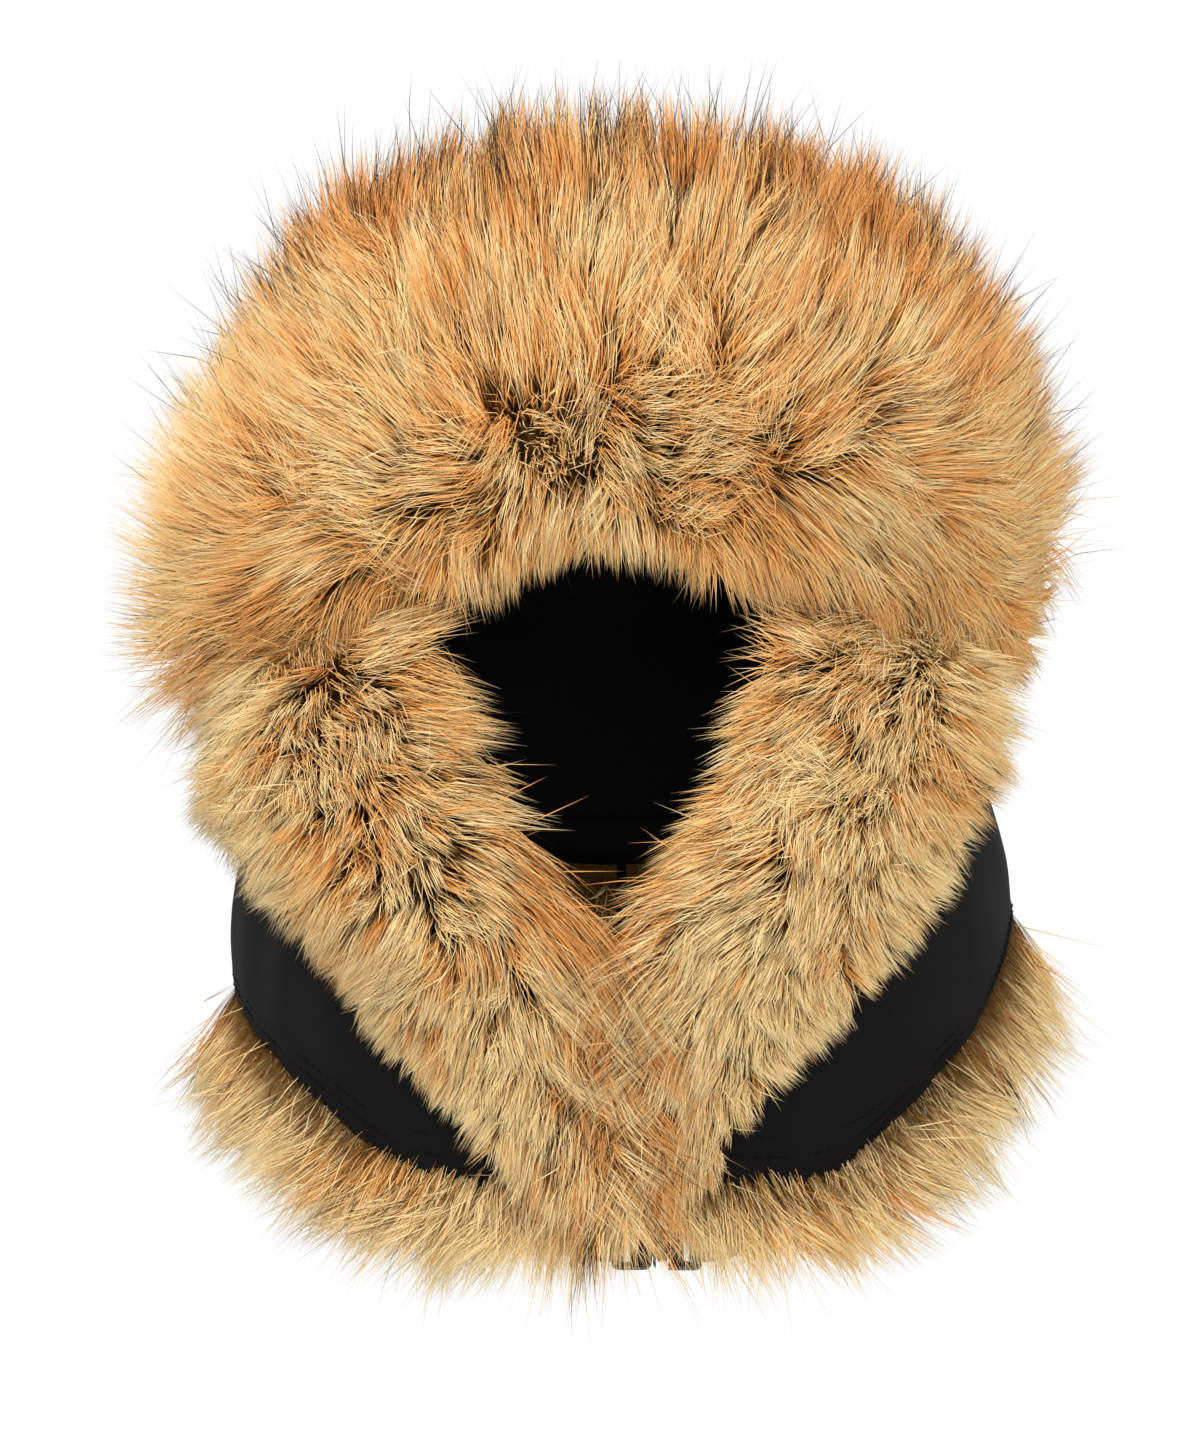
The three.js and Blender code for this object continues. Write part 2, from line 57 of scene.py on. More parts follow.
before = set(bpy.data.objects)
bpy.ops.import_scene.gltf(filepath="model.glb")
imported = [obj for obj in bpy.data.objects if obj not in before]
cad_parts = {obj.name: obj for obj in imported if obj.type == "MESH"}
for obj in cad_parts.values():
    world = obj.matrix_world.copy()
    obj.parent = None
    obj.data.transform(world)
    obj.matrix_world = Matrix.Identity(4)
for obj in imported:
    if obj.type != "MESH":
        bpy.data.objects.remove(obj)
CAD_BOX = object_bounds()
MM = 0.001

# Cloth
SHELL_WALL = 2.5
LINING_WALL = 1.2
LINING_INSET = 2.8
BAND_INSET = 4.2
BAND_WALL = 0.8
CROWN_HEIGHT = 108
CROWN_FULLNESS = 2.4
RIM_DROP = 60
RIM_GAP = 0.45
BROW = {"wall": 2.5, "height": 76, "spread": 80, "stand_off": 1.7, "lean": 7}

# Seams: the dome's share of the crown's rows, where the seam over the ears runs, a distance that no
# groove reaches, and the grooves themselves
DOME_SHARE = 5 / 7
EAR_SEAM_Y = -8
FAR = 400
GROOVE = {"width": 1.6, "depth": 1.1}
STITCH = {"length": 3.0, "gap": 1.2, "radius": 0.28, "sunk": 0.35}
STITCH_OFF = 2.2
TAPE = {"half_angle": 2.3, "foot": -115.2, "stitch_angle": 1.7}

# Fur: the gap between its back and the cloth, how deep the hairs are rooted, how far they keep off
# the cloth and how far past the solids' box they may stand
BROW_GAP = 0.4
FLAP_GAP = 0.5
ROOT_DEPTH = 4.0
CLEAR_INSIDE = 1.0
CLEAR_OUTSIDE = 1.2
REACH = 15
HAIR_STEPS = 5
HAIR_SPREAD = (0.62, 1.1)
BEND_TWICE_SHARE = 0.06

# Strays wander, and those that are guard hairs are longer and are hardly held by their tufts
STRAY_SHARE = 0.08
WANDER = {"plain": 0.1, "stray": 0.3}
GUARD = {"stretch": 1.08, "more": 0.26, "hold": 0.25}

# Guide hairs, one to so many hairs, which draw the others together in tufts. A tuft's hairs share
# their kind and their shade only in part.
BIG_TUFT = {"hairs": 192, "fewest": 24, "wander": 0.30, "spread": (0.8, 1.15)}
SMALL_TUFT = {"hairs": 16, "fewest": 60, "wander": 0.22, "spread": (0.7, 1.2)}
HOLD = (0.25, 0.8)
SAME_KIND = 0.72
SAME_SHADE = 0.5

# Where golden, rust, black-tipped and cream hairs start on the scale of tones, and its end
TONES = (0.0, 0.5, 0.75, 0.9, 1.0)

# Stage: metres, but for where the camera aims, and for the picture's height at the hat, which is
# its pixels by the millimetres to a pixel
FLOOR_Z = -1.5
LIGHT_AIM = (0, 0, -0.04)
CAMERA_AIM = (-6.8, 0, -41.0)
CAMERA_DISTANCE = 6.0
CAMERA_LIFT = -12
SENSOR = 36
PICTURE_HEIGHT = 1440 * 0.31


def table(columns, *rows):
    return np.array(list(rows), dtype=[(name, float) for name in columns.split()])


# Outer skin of the hat below the rim, from the top down
SKIN = table(
    "z half_width front back",
    (0, 85, 106, 106),
    (-30, 99, 112, 108),
    (-60, 112, 117, 110),
    (-95, 121, 118, 112),
    (-130, 120, 114, 112),
    (-165, 112, 107, 109),
    (-210, 95, 97, 104),
)

# Front edges of the flaps and the outer edge of the fur on them, in degrees from the front
FRONT = table(
    "z right_edge left_edge right_fur left_fur",
    (-5, 53, 49, 84, 76),
    (-60, 33, 26, 77, 62),
    (-84, 25, 19, 63, 50),
    (-105, 18, 13, 52, 45),
    (-130, 6, 5, 41, 37),
    (-155, 1, 1, 35, 28),
    (-180, 1, 1, 24, 18),
    (-210, 1, 1, 14, 13),
)

# Height of the hem round each flap
HEM = table(
    "angle right left",
    (0, -196, -196),
    (14, -206, -205),
    (40, -199, -199),
    (58, -173, -168),
    (73, -150, -137),
    (88, -130, -106),
    (125, -118, -104),
    (180, -116, -116),
)

# How the brow's fur fans from the foot of the flap to its top
BROW_FAN = table(
    "up angle length",
    (0, -86, 38),
    (0.1, -64, 44),
    (0.19, -6, 36),
    (0.36, 46, 44),
    (0.75, 78, 42),
    (1.1, 110, 38),
)

# How the cheeks' fur fans from the front edge to the outer edge
CHEEK_FAN = table(
    "across right left length",
    (0, -80, -82, 44),
    (0.3, -40, -62, 40),
    (0.6, 10, -34, 37),
    (0.8, 48, 18, 32),
    (1, 76, 72, 24),
)


def ease(t):
    """A step from 0 to 1 with level ends."""
    return t * t * (3 - 2 * t)


def rise(x, start, span):
    """From 0 at start evenly to 1 over the span. A span below 0 counts down to 0 at start."""
    return np.clip((x - start) / span, 0, 1)


def hump(x, centre, width):
    """1 at the centre, fading to 0 on both sides."""
    return np.exp(-(((x - centre) / width) ** 2))


def fade(x, reach):
    """1 where x is 0, then fading away."""
    return np.exp(-x / reach)


def arc(x, low, high):
    """Part of a half wave, which swells in the middle."""
    return np.sin(math.pi * mix(low, high, x))


def read(rows, column, x):
    """A smooth curve through one column of a table, read at x along its first column."""
    along = rows.dtype.names[0]
    rows = np.sort(rows, order=along)
    xs = rows[along]
    ys = rows[column]
    x = np.clip(np.asarray(x, float), xs[0], xs[-1])
    slope = np.empty(len(xs))
    slope[1:-1] = (ys[2:] - ys[:-2]) / (xs[2:] - xs[:-2])
    slope[0] = (ys[1] - ys[0]) / (xs[1] - xs[0])
    slope[-1] = (ys[-1] - ys[-2]) / (xs[-1] - xs[-2])
    i = np.clip(np.searchsorted(xs, x, side="left"), 1, len(xs) - 1)
    step = xs[i] - xs[i - 1]
    t = (x - xs[i - 1]) / step
    bulge = t * (1 - t) ** 2 * step * slope[i - 1] + t * t * (t - 1) * step * slope[i]
    return ys[i - 1] + (ys[i] - ys[i - 1]) * ease(t) + bulge


def mix(a, b, t):
    return a + (b - a) * t


def unit(v):
    return v / np.maximum(np.linalg.norm(v, axis=-1, keepdims=True), 1e-9)


def stack(x, y, z):
    return np.stack(np.broadcast_arrays(x, y, z), axis=-1).astype(float)


def side_name(side):
    return "left" if side > 0 else "right"


def rim_z(angle):
    return -RIM_DROP * (1 - np.cos(np.radians(angle))) / 2


def dome_spread(z, top):
    """How wide the dome is at a height, as a share of its rim."""
    return (1 - np.maximum(0, z / top) ** CROWN_FULLNESS) ** (1 / CROWN_FULLNESS)


def angle_at(side, p):
    """The angle of points round the hat, from 0 in front to 180 behind."""
    return np.degrees(np.arctan2(side * p[..., 0], -p[..., 1]))


def skin(side, angle, z, offset=0.0):
    """Points on the hat's skin, offset outwards. The angle runs from 0 in front to 180 behind."""
    a = np.radians(angle)
    half_width = read(SKIN, "half_width", z)
    reach = np.where(np.asarray(angle) < 90, read(SKIN, "front", z), read(SKIN, "back", z))
    return stack(side * (half_width + offset) * np.sin(a), -(reach + offset) * np.cos(a), z)


def outward(side, angle):
    a = np.radians(angle)
    return stack(side * np.sin(a), -np.cos(a), 0)


def backward(side, angle):
    a = np.radians(angle)
    return stack(side * np.cos(a), np.sin(a), 0)


def flap_point(side, u, v, offset=0.0):
    """A flap's surface, from its front edge (u 0) to the back seam, and from the rim (v 0) down."""
    name = side_name(side)
    front_z = mix(rim_z(50.0), HEM[name][1], v)
    edge = read(FRONT, name + "_edge", front_z)
    angle = mix(edge, 179.9, u)
    hem = read(HEM, name, angle)
    z = mix(rim_z(angle) - RIM_GAP, hem, v)
    return skin(side, angle, z, offset), angle


def brow_point(u, v, offset=0.0):
    """The brow flap, from the wearer's right (u 0) to the left, and from its foot (v 0) up."""
    angle = mix(-BROW["spread"], BROW["spread"], u)
    edge = np.minimum(0.97, 0.96 * np.abs(2 * u - 1))
    height = np.sqrt(1 - edge**4)
    z = rim_z(angle) + 1 + BROW["height"] * height * v
    stand = BROW["stand_off"] + offset - BROW["lean"] * (height * v) ** 2
    side = np.where(angle < 0, -1, 1)
    p = skin(side, np.abs(angle), np.minimum(z, 0), stand)
    p[..., 2] = z
    return p, angle


def smooth_noise(p, scale, seed):
    """A soft random field from a few waves, between about -1 and 1."""
    rng = np.random.default_rng(seed)
    total = np.zeros(p.shape[:-1])
    for _ in range(7):
        wave = rng.normal(size=3) / scale
        total += np.sin(p @ wave * 2.2 + rng.uniform(0, 6.28))
    return total / 3.2


class Socket:
    """A value in a shader, so that what varies over a surface is written as an expression."""

    def __init__(self, finish, socket):
        self.finish = finish
        self.socket = socket

    def maths(self, operation, *other):
        return self.finish.node("Math", {"operation": operation}, (self, *other))

    def __add__(self, other):
        return self.maths("ADD", other)

    def __mul__(self, other):
        return self.maths("MULTIPLY", other)

    __radd__ = __add__
    __rmul__ = __mul__

    def over(self, other):
        return self.maths("GREATER_THAN", other)

    def sine(self):
        return self.maths("SINE")


class Finish:
    """A material, its shader and the nodes behind it."""

    def __init__(self, name, **constants):
        self.material = bpy.data.materials.new(name)
        self.material.use_nodes = True
        self.tree = self.material.node_tree
        self.shader = self.tree.nodes["Principled BSDF"]
        self.set(**constants)

    def join(self, slot, value):
        """Links a socket to a slot, or sets the slot's value."""
        if isinstance(value, Socket):
            self.tree.links.new(value.socket, slot)
        elif hasattr(slot.default_value, "__len__") and len(slot.default_value) == 4:
            slot.default_value = (*value[:3], 1.0)
        else:
            slot.default_value = value

    def node(self, kind, settings=None, values=(), output=0, **inputs):
        """Adds a node: its settings first, then values for slots by number and by name."""
        made = self.tree.nodes.new("ShaderNode" + kind)
        for key, value in (settings or {}).items():
            if key == "stops":
                self.set_stops(made.color_ramp.elements, value)
            else:
                setattr(made, key, value)
        numbered = values.items() if isinstance(values, dict) else enumerate(values)
        for key, value in [*numbered, *inputs.items()]:
            self.join(made.inputs[key.replace("_", " ") if isinstance(key, str) else key], value)
        if output == "all":
            return [Socket(self, out) for out in made.outputs]
        return Socket(self, made.outputs[output])

    def set_stops(self, elements, stops):
        while len(elements) < len(stops):
            elements.new(0.5)
        for element, (at, colour) in zip(elements, stops):
            element.position = at
            element.color = (*colour, 1.0)

    def place(self):
        return self.node("TexCoord", output="Object")

    def parts(self, vector):
        return self.node("SeparateXYZ", values=(vector,), output="all")

    def noise(self, scale, detail=3.0, vector=None, roughness=0.5):
        vector = vector or self.place()
        return self.node("TexNoise", Vector=vector, Scale=scale, Detail=detail, Roughness=roughness)

    def blend(self, factor, a, b, kind="MIX"):
        settings = {"data_type": "RGBA", "blend_type": kind}
        return self.node("Mix", settings, {0: factor, 6: a, 7: b}, output=2)

    def ramp(self, factor, stops):
        return self.node("ValToRGB", {"stops": stops}, (factor,))

    def bump(self, height, strength, distance):
        return self.node("Bump", Height=height, Strength=strength, Distance=distance)

    def set(self, **values):
        for key, value in values.items():
            self.join(self.shader.inputs[key.replace("_", " ")], value)


def shade(colour, factor):
    return tuple(c * factor for c in colour)


def mix_colour(a, b, t):
    return tuple(mix(x, y, t) for x, y in zip(a, b))


def shell_finish():
    """Matt black shell cloth with a fine plain weave and a little dust."""
    finish = Finish("shell_cloth", Roughness=0.8, Specular_IOR_Level=0.11)
    x, y, z = finish.parts(finish.place())
    weave = (z * 9000.0).sine() * ((x + y) * 9000.0).sine()
    cloud = finish.noise(26.0, 4.0)
    dust = finish.noise(900.0, 2.0)
    black = tuple(bpy.context.scene.hat_finish.shell_colour)
    colour = finish.blend(cloud, shade(black, 0.75), shade(black, 1.5))
    finish.set(
        Base_Color=finish.blend(dust * 0.3, colour, shade(black, 2.4)),
        Roughness=cloud * 0.2 + 0.7,
        Normal=finish.bump(weave * 0.4 + dust + cloud * 2.0, 0.25, 0.0006),
    )
    return finish.material


def lining_finish():
    """Black twill lining that hardly shines."""
    finish = Finish("lining_cloth", Roughness=0.72, Specular_IOR_Level=0.15)
    x, y, z = finish.parts(finish.place())
    twill = ((x + y + z) * 7000.0).sine()
    cloud = finish.noise(18.0, 3.0)
    finish.set(
        Base_Color=finish.blend(cloud, (0.0007, 0.0007, 0.0006), (0.0016, 0.0015, 0.0014)),
        Roughness=cloud * 0.2 + 0.66,
        Normal=finish.bump(twill * 0.3 + cloud * 2.0, 0.2, 0.0005),
    )
    return finish.material


def webbing_finish():
    """Black woven webbing with ribs along it."""
    finish = Finish("webbing", Roughness=0.7, Sheen_Weight=0.1)
    x, _, z = finish.parts(finish.place())
    ribs = (z * 5200.0).sine()
    picks = (x * 4200.0).sine()
    finish.set(
        Base_Color=finish.blend(ribs * 0.5 + 0.5, (0.010, 0.008, 0.008), (0.030, 0.024, 0.022)),
        Roughness=picks * 0.08 + 0.66,
        Normal=finish.bump(ribs + picks * 0.6, 0.5, 0.0004),
    )
    return finish.material


def buckle_finish():
    """Moulded black plastic with a fine grain."""
    finish = Finish("buckle_plastic", Roughness=0.45, Specular_IOR_Level=0.2)
    grain = finish.noise(1400.0, 3.0)
    wear = finish.noise(120.0, 4.0)
    finish.set(
        Base_Color=finish.blend(wear, (0.004, 0.003, 0.003), (0.010, 0.007, 0.006)),
        Roughness=wear * 0.25 + 0.4,
        Normal=finish.bump(grain, 0.15, 0.0002),
    )
    return finish.material


def undercoat_finish():
    """The dense short fur under the long pile, streaked down along its lie. Its dark brown is
    partly the fur's own dark base and partly painted shade of the deep, shadowed pile.
    """
    look = bpy.context.scene.hat_finish
    finish = Finish("fur_undercoat", Roughness=0.95, Specular_IOR_Level=0.1)
    uv = finish.node("TexCoord", output="UV")
    lie = finish.node("Mapping", Vector=uv, Scale=(9.0, 1.0, 1.0))
    streak = finish.noise(60.0, 4.0, lie, 0.7)
    fine = finish.noise(900.0, 3.0, roughness=0.7)
    patch = finish.noise(60.0, 3.0)
    root = tuple(look.fur_root)
    body = tuple(look.fur_body)
    # Painted shade: the undercoat's browns stay at about a third of the body colour, for the
    # shadowed depth of the pile, over its own dark base.
    dark = finish.blend(patch, root, shade(body, 0.3))
    streaks = finish.ramp(streak, [(0.35, (0, 0, 0)), (0.65, (1, 1, 1))])
    finish.set(
        Base_Color=finish.blend(streaks, dark, shade(body, 0.34)),
        Normal=finish.bump(streak * 2.0 + fine, 0.9, 0.003),
    )
    return finish.material


def fur_finish():
    """Long pile. The map's u is the tone of a hair and its v runs from root to tip."""
    look = bpy.context.scene.hat_finish
    finish = Finish("fur", Roughness=0.6, Specular_IOR_Level=0.22)
    tone, along, _ = finish.parts(finish.node("UVMap", {"uv_map": "OFBake"}))
    root = tuple(look.fur_root)
    body = tuple(look.fur_body)
    pale = tuple(look.fur_tip)
    rust = tuple(look.fur_rust)
    # Each hair darkens towards its root: partly the fur's own darker roots, partly painted shade
    # deep in the pile between the tufts.
    gold_stops = ((0.3, shade(body, 0.38)), (0.54, body), (1.0, mix_colour(body, pale, 0.6)))
    rust_stops = ((0.32, shade(rust, 0.4)), (0.56, rust), (1.0, mix_colour(rust, pale, 0.15)))
    black_stops = (
        (0.35, rust),
        (0.52, shade(rust, 0.6)),
        (0.64, (0.02, 0.012, 0.01)),
        (1.0, (0.01, 0.008, 0.01)),
    )
    cream_stops = ((0.3, shade(body, 0.45)), (0.54, mix_colour(body, pale, 0.8)), (1.0, pale))
    kinds = [
        finish.ramp(along, ((0.0, root), *stops))
        for stops in (gold_stops, rust_stops, black_stops, cream_stops)
    ]
    colour = kinds[0]
    for start, kind in zip(TONES[1:], kinds[1:]):
        colour = finish.blend(tone.over(start), colour, kind)
    shift = finish.node("TexWhiteNoise", {"noise_dimensions": "1D"}, W=tone * 997.0)
    vary = shift * 1.1 + 0.4
    grey = finish.node("CombineXYZ", X=vary, Y=vary, Z=vary)
    finish.set(Base_Color=finish.blend(1.0, colour, grey, "MULTIPLY"))
    return finish.material


MAKERS = {
    "shell_cloth": shell_finish,
    "lining_cloth": lining_finish,
    "webbing": webbing_finish,
    "buckle": buckle_finish,
    "undercoat": undercoat_finish,
    "fur": fur_finish,
}
MADE = {}


def finish_for(name):
    """A finish, made when it is first asked for."""
    if name not in MADE:
        MADE[name] = MAKERS[name]()
    return MADE[name]


def deselect():
    if bpy.context.object and bpy.context.object.mode != "OBJECT":
        bpy.ops.object.mode_set(mode="OBJECT")
    bpy.ops.object.select_all(action="DESELECT")


def select_only(piece):
    deselect()
    piece.select_set(True)
    bpy.context.view_layer.objects.active = piece


def settle(piece, finish, nodes=()):
    """Gives a piece its finish and its place in the frame."""
    piece.data.materials.clear()
    piece.data.materials.append(finish_for(finish))
    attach(piece, "root")
    if nodes:
        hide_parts(*nodes)


def add_object(name, mesh):
    piece = bpy.data.objects.new(name, mesh)
    bpy.context.scene.collection.objects.link(piece)
    return piece


def apply_modifier(piece, kind, name, **settings):
    modifier = piece.modifiers.new(name, kind)
    for key, value in settings.items():
        setattr(modifier, key, value)
    bpy.ops.object.modifier_apply(modifier=modifier.name)


def face_outward(merge=False):
    """Turns the faces of the active piece outward, with its doubled points merged if asked."""
    bpy.ops.object.mode_set(mode="EDIT")
    bpy.ops.mesh.select_all(action="SELECT")
    if merge:
        bpy.ops.mesh.remove_doubles(threshold=1e-6)
    bpy.ops.mesh.normals_make_consistent(inside=False)
    bpy.ops.object.mode_set(mode="OBJECT")


def smooth(degrees):
    bpy.ops.object.shade_smooth_by_angle(angle=math.radians(degrees))


def corners(piece):
    """The places of a mesh's points, as rows."""
    co = np.empty(len(piece.data.vertices) * 3)
    piece.data.vertices.foreach_get("co", co)
    return co.reshape(-1, 3)


def grid(name, columns, rows):
    """A flat grid, and the places of its points as u and v."""
    deselect()
    bpy.ops.mesh.primitive_grid_add(x_subdivisions=columns, y_subdivisions=rows, size=2)
    piece = bpy.context.object
    piece.name = name
    piece.data.name = name
    co = corners(piece)
    return piece, (co[:, 0] + 1) / 2, (co[:, 1] + 1) / 2


def cloth(name, columns, rows, place, wall):
    """A wall of cloth: a grid laid on a surface and thickened inwards by a Solidify."""
    piece, u, v = grid(name, columns, rows)
    piece.data.vertices.foreach_set("co", (place(u, v) * MM).ravel())
    face_outward(merge=True)
    apply_modifier(
        piece, "SOLIDIFY", "wall", thickness=wall * MM, offset=-1.0, use_even_offset=True
    )
    smooth(40)
    return piece


def crown_surface(inset, seamed, u, v):
    """The dome. Its outside has a seam from ear to ear and one from the top down the back."""
    angle = 360 * u
    folded = np.minimum(angle, 360 - angle)
    side = np.where(angle <= 180, 1, -1)
    top = CROWN_HEIGHT - inset
    above = np.minimum(1, (1 - v) / DOME_SHARE)
    below = np.maximum(0, ((1 - v) - DOME_SHARE) / (1 - DOME_SHARE))
    z = top * np.cos(above * math.pi / 2) + rim_z(folded) * below
    p = skin(side, folded, np.minimum(z, 0), -inset)
    p[:, :2] *= dome_spread(z, top)[:, None]
    p[:, 2] = z
    if seamed:
        over_ears = np.abs(p[:, 1] - EAR_SEAM_Y)
        down_back = np.abs(p[:, 0]) + FAR * (p[:, 1] > EAR_SEAM_Y)
        groove = hump(np.minimum(over_ears, down_back), 0, GROOVE["width"]) * GROOVE["depth"]
        swell = 0.5 * smooth_noise(p, 40, 3) + 0.3 * smooth_noise(p, 16, 4)
        p -= unit(p) * (groove - np.minimum(0, swell))[:, None]
    return p


def crown_seam(arch, off):
    """A line on the dome beside a seam: from ear to ear, or from the top down the back."""
    z = np.linspace(-18 if arch == "across" else -55, CROWN_HEIGHT - 0.6, 90)
    spread = dome_spread(z, CROWN_HEIGHT)
    half_width = read(SKIN, "half_width", np.minimum(z, 0)) * spread
    reach = read(SKIN, "back", np.minimum(z, 0)) * spread
    if arch == "back":
        y = reach * np.sqrt(np.maximum(0, 1 - (off / np.maximum(half_width, 3)) ** 2))
        return stack(off, y, z)[reach > 8]
    y = EAR_SEAM_Y + off
    x = half_width * np.sqrt(np.maximum(0, 1 - (y / np.maximum(reach, abs(y))) ** 2))
    half = stack(x, y, z)[x > 4]
    return np.concatenate([half, half[::-1] * [-1, 1, 1]])


def flap_surface(side, u, v):
    """A flap with a soft hem and the puckers that its topstitching pulls into it."""
    p, angle = flap_point(side, u, v)
    up = 1 - v
    pucker = 0.55 * hump(up, 0, 0.07) * np.sin(angle * 2.4 + 3 * smooth_noise(p, 30, 11 + side))
    fold = 0.9 * smooth_noise(p, 34, 21 + side) - 0.5
    edge = np.minimum(1, np.minimum(v, up) * 9) * np.minimum(1, (1 - u) * 12)
    roll = 0.9 * hump(up, 0, 1 / 60)
    seam = hump(up, 0.045, 0.008)
    offset = np.minimum(0, fold) * edge + pucker - 0.55 - roll - seam
    return p + outward(side, angle) * offset[:, None]


def rod(path, radius, sides=6):
    """Points and faces of a closed thin rod along a path."""
    path = np.asarray(path, float)
    along = unit(np.gradient(path, axis=0))
    other = unit(np.cross(along, [0.31, 0.2, 0.93]))
    third = np.cross(along, other)
    a = np.arange(sides) * 2 * math.pi / sides
    ring = (
        path[:, None, :]
        + radius * np.cos(a)[None, :, None] * other[:, None, :]
        + radius * np.sin(a)[None, :, None] * third[:, None, :]
    )
    points = ring.reshape(-1, 3)
    faces = []
    for j in range(len(path) - 1):
        for i in range(sides):
            n = (i + 1) % sides
            faces.append((j * sides + i, j * sides + n, (j + 1) * sides + n, (j + 1) * sides + i))
    faces.append(tuple(reversed(range(sides))))
    faces.append(tuple(range((len(path) - 1) * sides, len(path) * sides)))
    return points, faces


def gather(name, parts):
    """One object from many small closed shapes."""
    points = []
    faces = []
    start = 0
    for p, f in parts:
        points.append(p)
        faces += [tuple(i + start for i in face) for face in f]
        start += len(p)
    mesh = bpy.data.meshes.new(name)
    mesh.from_pydata((np.concatenate(points) * MM).tolist(), [], faces)
    mesh.update()
    piece = add_object(name, mesh)
    select_only(piece)
    face_outward()
    smooth(50)
    return piece


def stitches(line):
    """A row of topstitches along a line of points."""
    run = np.concatenate([[0], np.cumsum(np.linalg.norm(np.diff(line, axis=0), axis=1))])
    made = []
    at = 1.0
    while at + STITCH["length"] < run[-1]:
        s = np.linspace(at, at + STITCH["length"], 3)
        p = np.stack([np.interp(s, run, line[:, k]) for k in range(3)], axis=1)
        dip = STITCH["sunk"] * np.array([1, 0, 1])[:, None]
        made.append(rod(p - unit(p * [1, 1, 0]) * dip, STITCH["radius"], 4))
        at += STITCH["length"] + STITCH["gap"]
    return made


class Pile:
    """A bed of fur: where it is rooted, which way it is combed and how it is toned."""

    def __init__(self, surface, comb, length, tone, count, seed, **more):
        self.surface = surface
        self.comb = comb
        self.length = length
        self.tone = tone
        self.count = count
        self.rng = np.random.default_rng(seed)
        self.keep = more.get("keep")
        self.clear = more.get("clear")
        self.guards = more.get("guards", flat(0.15))
        self.rough = more.get("rough", flat(1.0))
        self.low, self.high = more.get("span", (0.0, 1.0))

    def scatter(self, count):
        """Places spread evenly over the surface, as u and v."""
        nu, nv = 160, 80
        down = np.linspace(self.low, self.high, nv + 1)
        gu, gv = np.meshgrid(np.linspace(0, 1, nu + 1), down, indexing="ij")
        p = self.surface(gu.ravel(), gv.ravel()).reshape(nu + 1, nv + 1, 3)
        a = p[1:, 1:] - p[:-1, :-1]
        b = p[1:, :-1] - p[:-1, 1:]
        area = np.linalg.norm(np.cross(a, b), axis=-1)
        if self.keep is not None:
            mid_u = (gu[1:, 1:] + gu[:-1, :-1]) / 2
            mid_v = (gv[1:, 1:] + gv[:-1, :-1]) / 2
            area = area * self.keep(mid_u, mid_v)
        share = area.ravel() / area.sum()
        cell = self.rng.choice(nu * nv, size=count, p=share)
        u = (cell // nv + self.rng.random(count)) / nu
        v = (cell % nv + self.rng.random(count)) / nv
        return u, mix(self.low, self.high, v)

    def normals(self, u, v):
        e = 0.004
        pu = self.surface(np.minimum(1, u + e), v) - self.surface(np.maximum(0, u - e), v)
        up = np.minimum(self.high, v + e)
        pv = self.surface(u, up) - self.surface(u, np.maximum(self.low, v - e))
        return unit(np.cross(pu, pv))

    def paths(self, u, v, wander, spread):
        """The centre lines, as points from root to tip. Each wanders a little from the comb."""
        n = len(u)
        root = self.surface(u, v)
        normal = self.normals(u, v)
        comb = unit(self.comb(u, v, root))
        normal = normal * np.sign((normal * comb).sum(-1, keepdims=True) + 1e-6)
        length = self.length(u, v) * self.rng.uniform(*spread, n)
        wander = np.broadcast_to(wander, n) * self.rough(u, v)
        wander = self.rng.normal(size=(n, 3)) * wander[:, None]
        points = [root - normal * ROOT_DEPTH]
        for k in range(HAIR_STEPS):
            s = (k + 0.5) / HAIR_STEPS
            lean = 0.42 + 0.58 * s**0.65
            d = normal * (1 - lean) + comb * lean + wander * (0.4 + s)
            d[:, 2] -= 0.08 * s
            points.append(points[-1] + unit(d) * (length[:, None] / HAIR_STEPS))
        return np.stack(points, axis=1)

    def guides(self, tuft):
        count = max(tuft["fewest"], int(self.count / tuft["hairs"]))
        u, v = self.scatter(count)
        return self.paths(u, v, tuft["wander"], tuft["spread"])

    def drawn(self, share, tuft, count):
        """Random values, of which a share is the same through each tuft."""
        each = self.rng.random(count)[tuft]
        return np.where(self.rng.random(self.count) < share, each, self.rng.random(self.count))

    def grow(self):
        """Every hair of the pile as paths and tones."""
        count = self.count
        u, v = self.scatter(count)
        stray = self.rng.random(count) < STRAY_SHARE
        wander = np.where(stray, WANDER["stray"], WANDER["plain"])
        path = self.paths(u, v, wander, HAIR_SPREAD)
        share = self.guards(u, v)
        guard = stray & (self.rng.random(count) < share)
        stretch = np.where(guard, GUARD["stretch"] + GUARD["more"] * share, 1)[:, None, None]
        path = path[:, :1] + (path - path[:, :1]) * stretch
        big = self.guides(BIG_TUFT)
        small, _ = draw_together(self.guides(SMALL_TUFT), big, 0.6, 1.2)
        hold = np.where(stray, GUARD["hold"] * guard, self.rng.uniform(*HOLD, count))
        path, tuft = draw_together(path, small, hold[:, None, None], 1.0)
        if self.clear:
            path = self.clear(path)
        path = within_reach(path)
        draw = np.where(guard, 2.0, self.drawn(SAME_KIND, tuft, len(small)))
        return path, self.tone(u, v, path, draw, self.drawn(SAME_SHADE, tuft, len(small)))


def nearest(points, places):
    """For each place, the number of the point that lies nearest."""
    tree = KDTree(len(points))
    for i, p in enumerate(points):
        tree.insert(p, i)
    tree.balance()
    return np.array([tree.find(p)[1] for p in places])


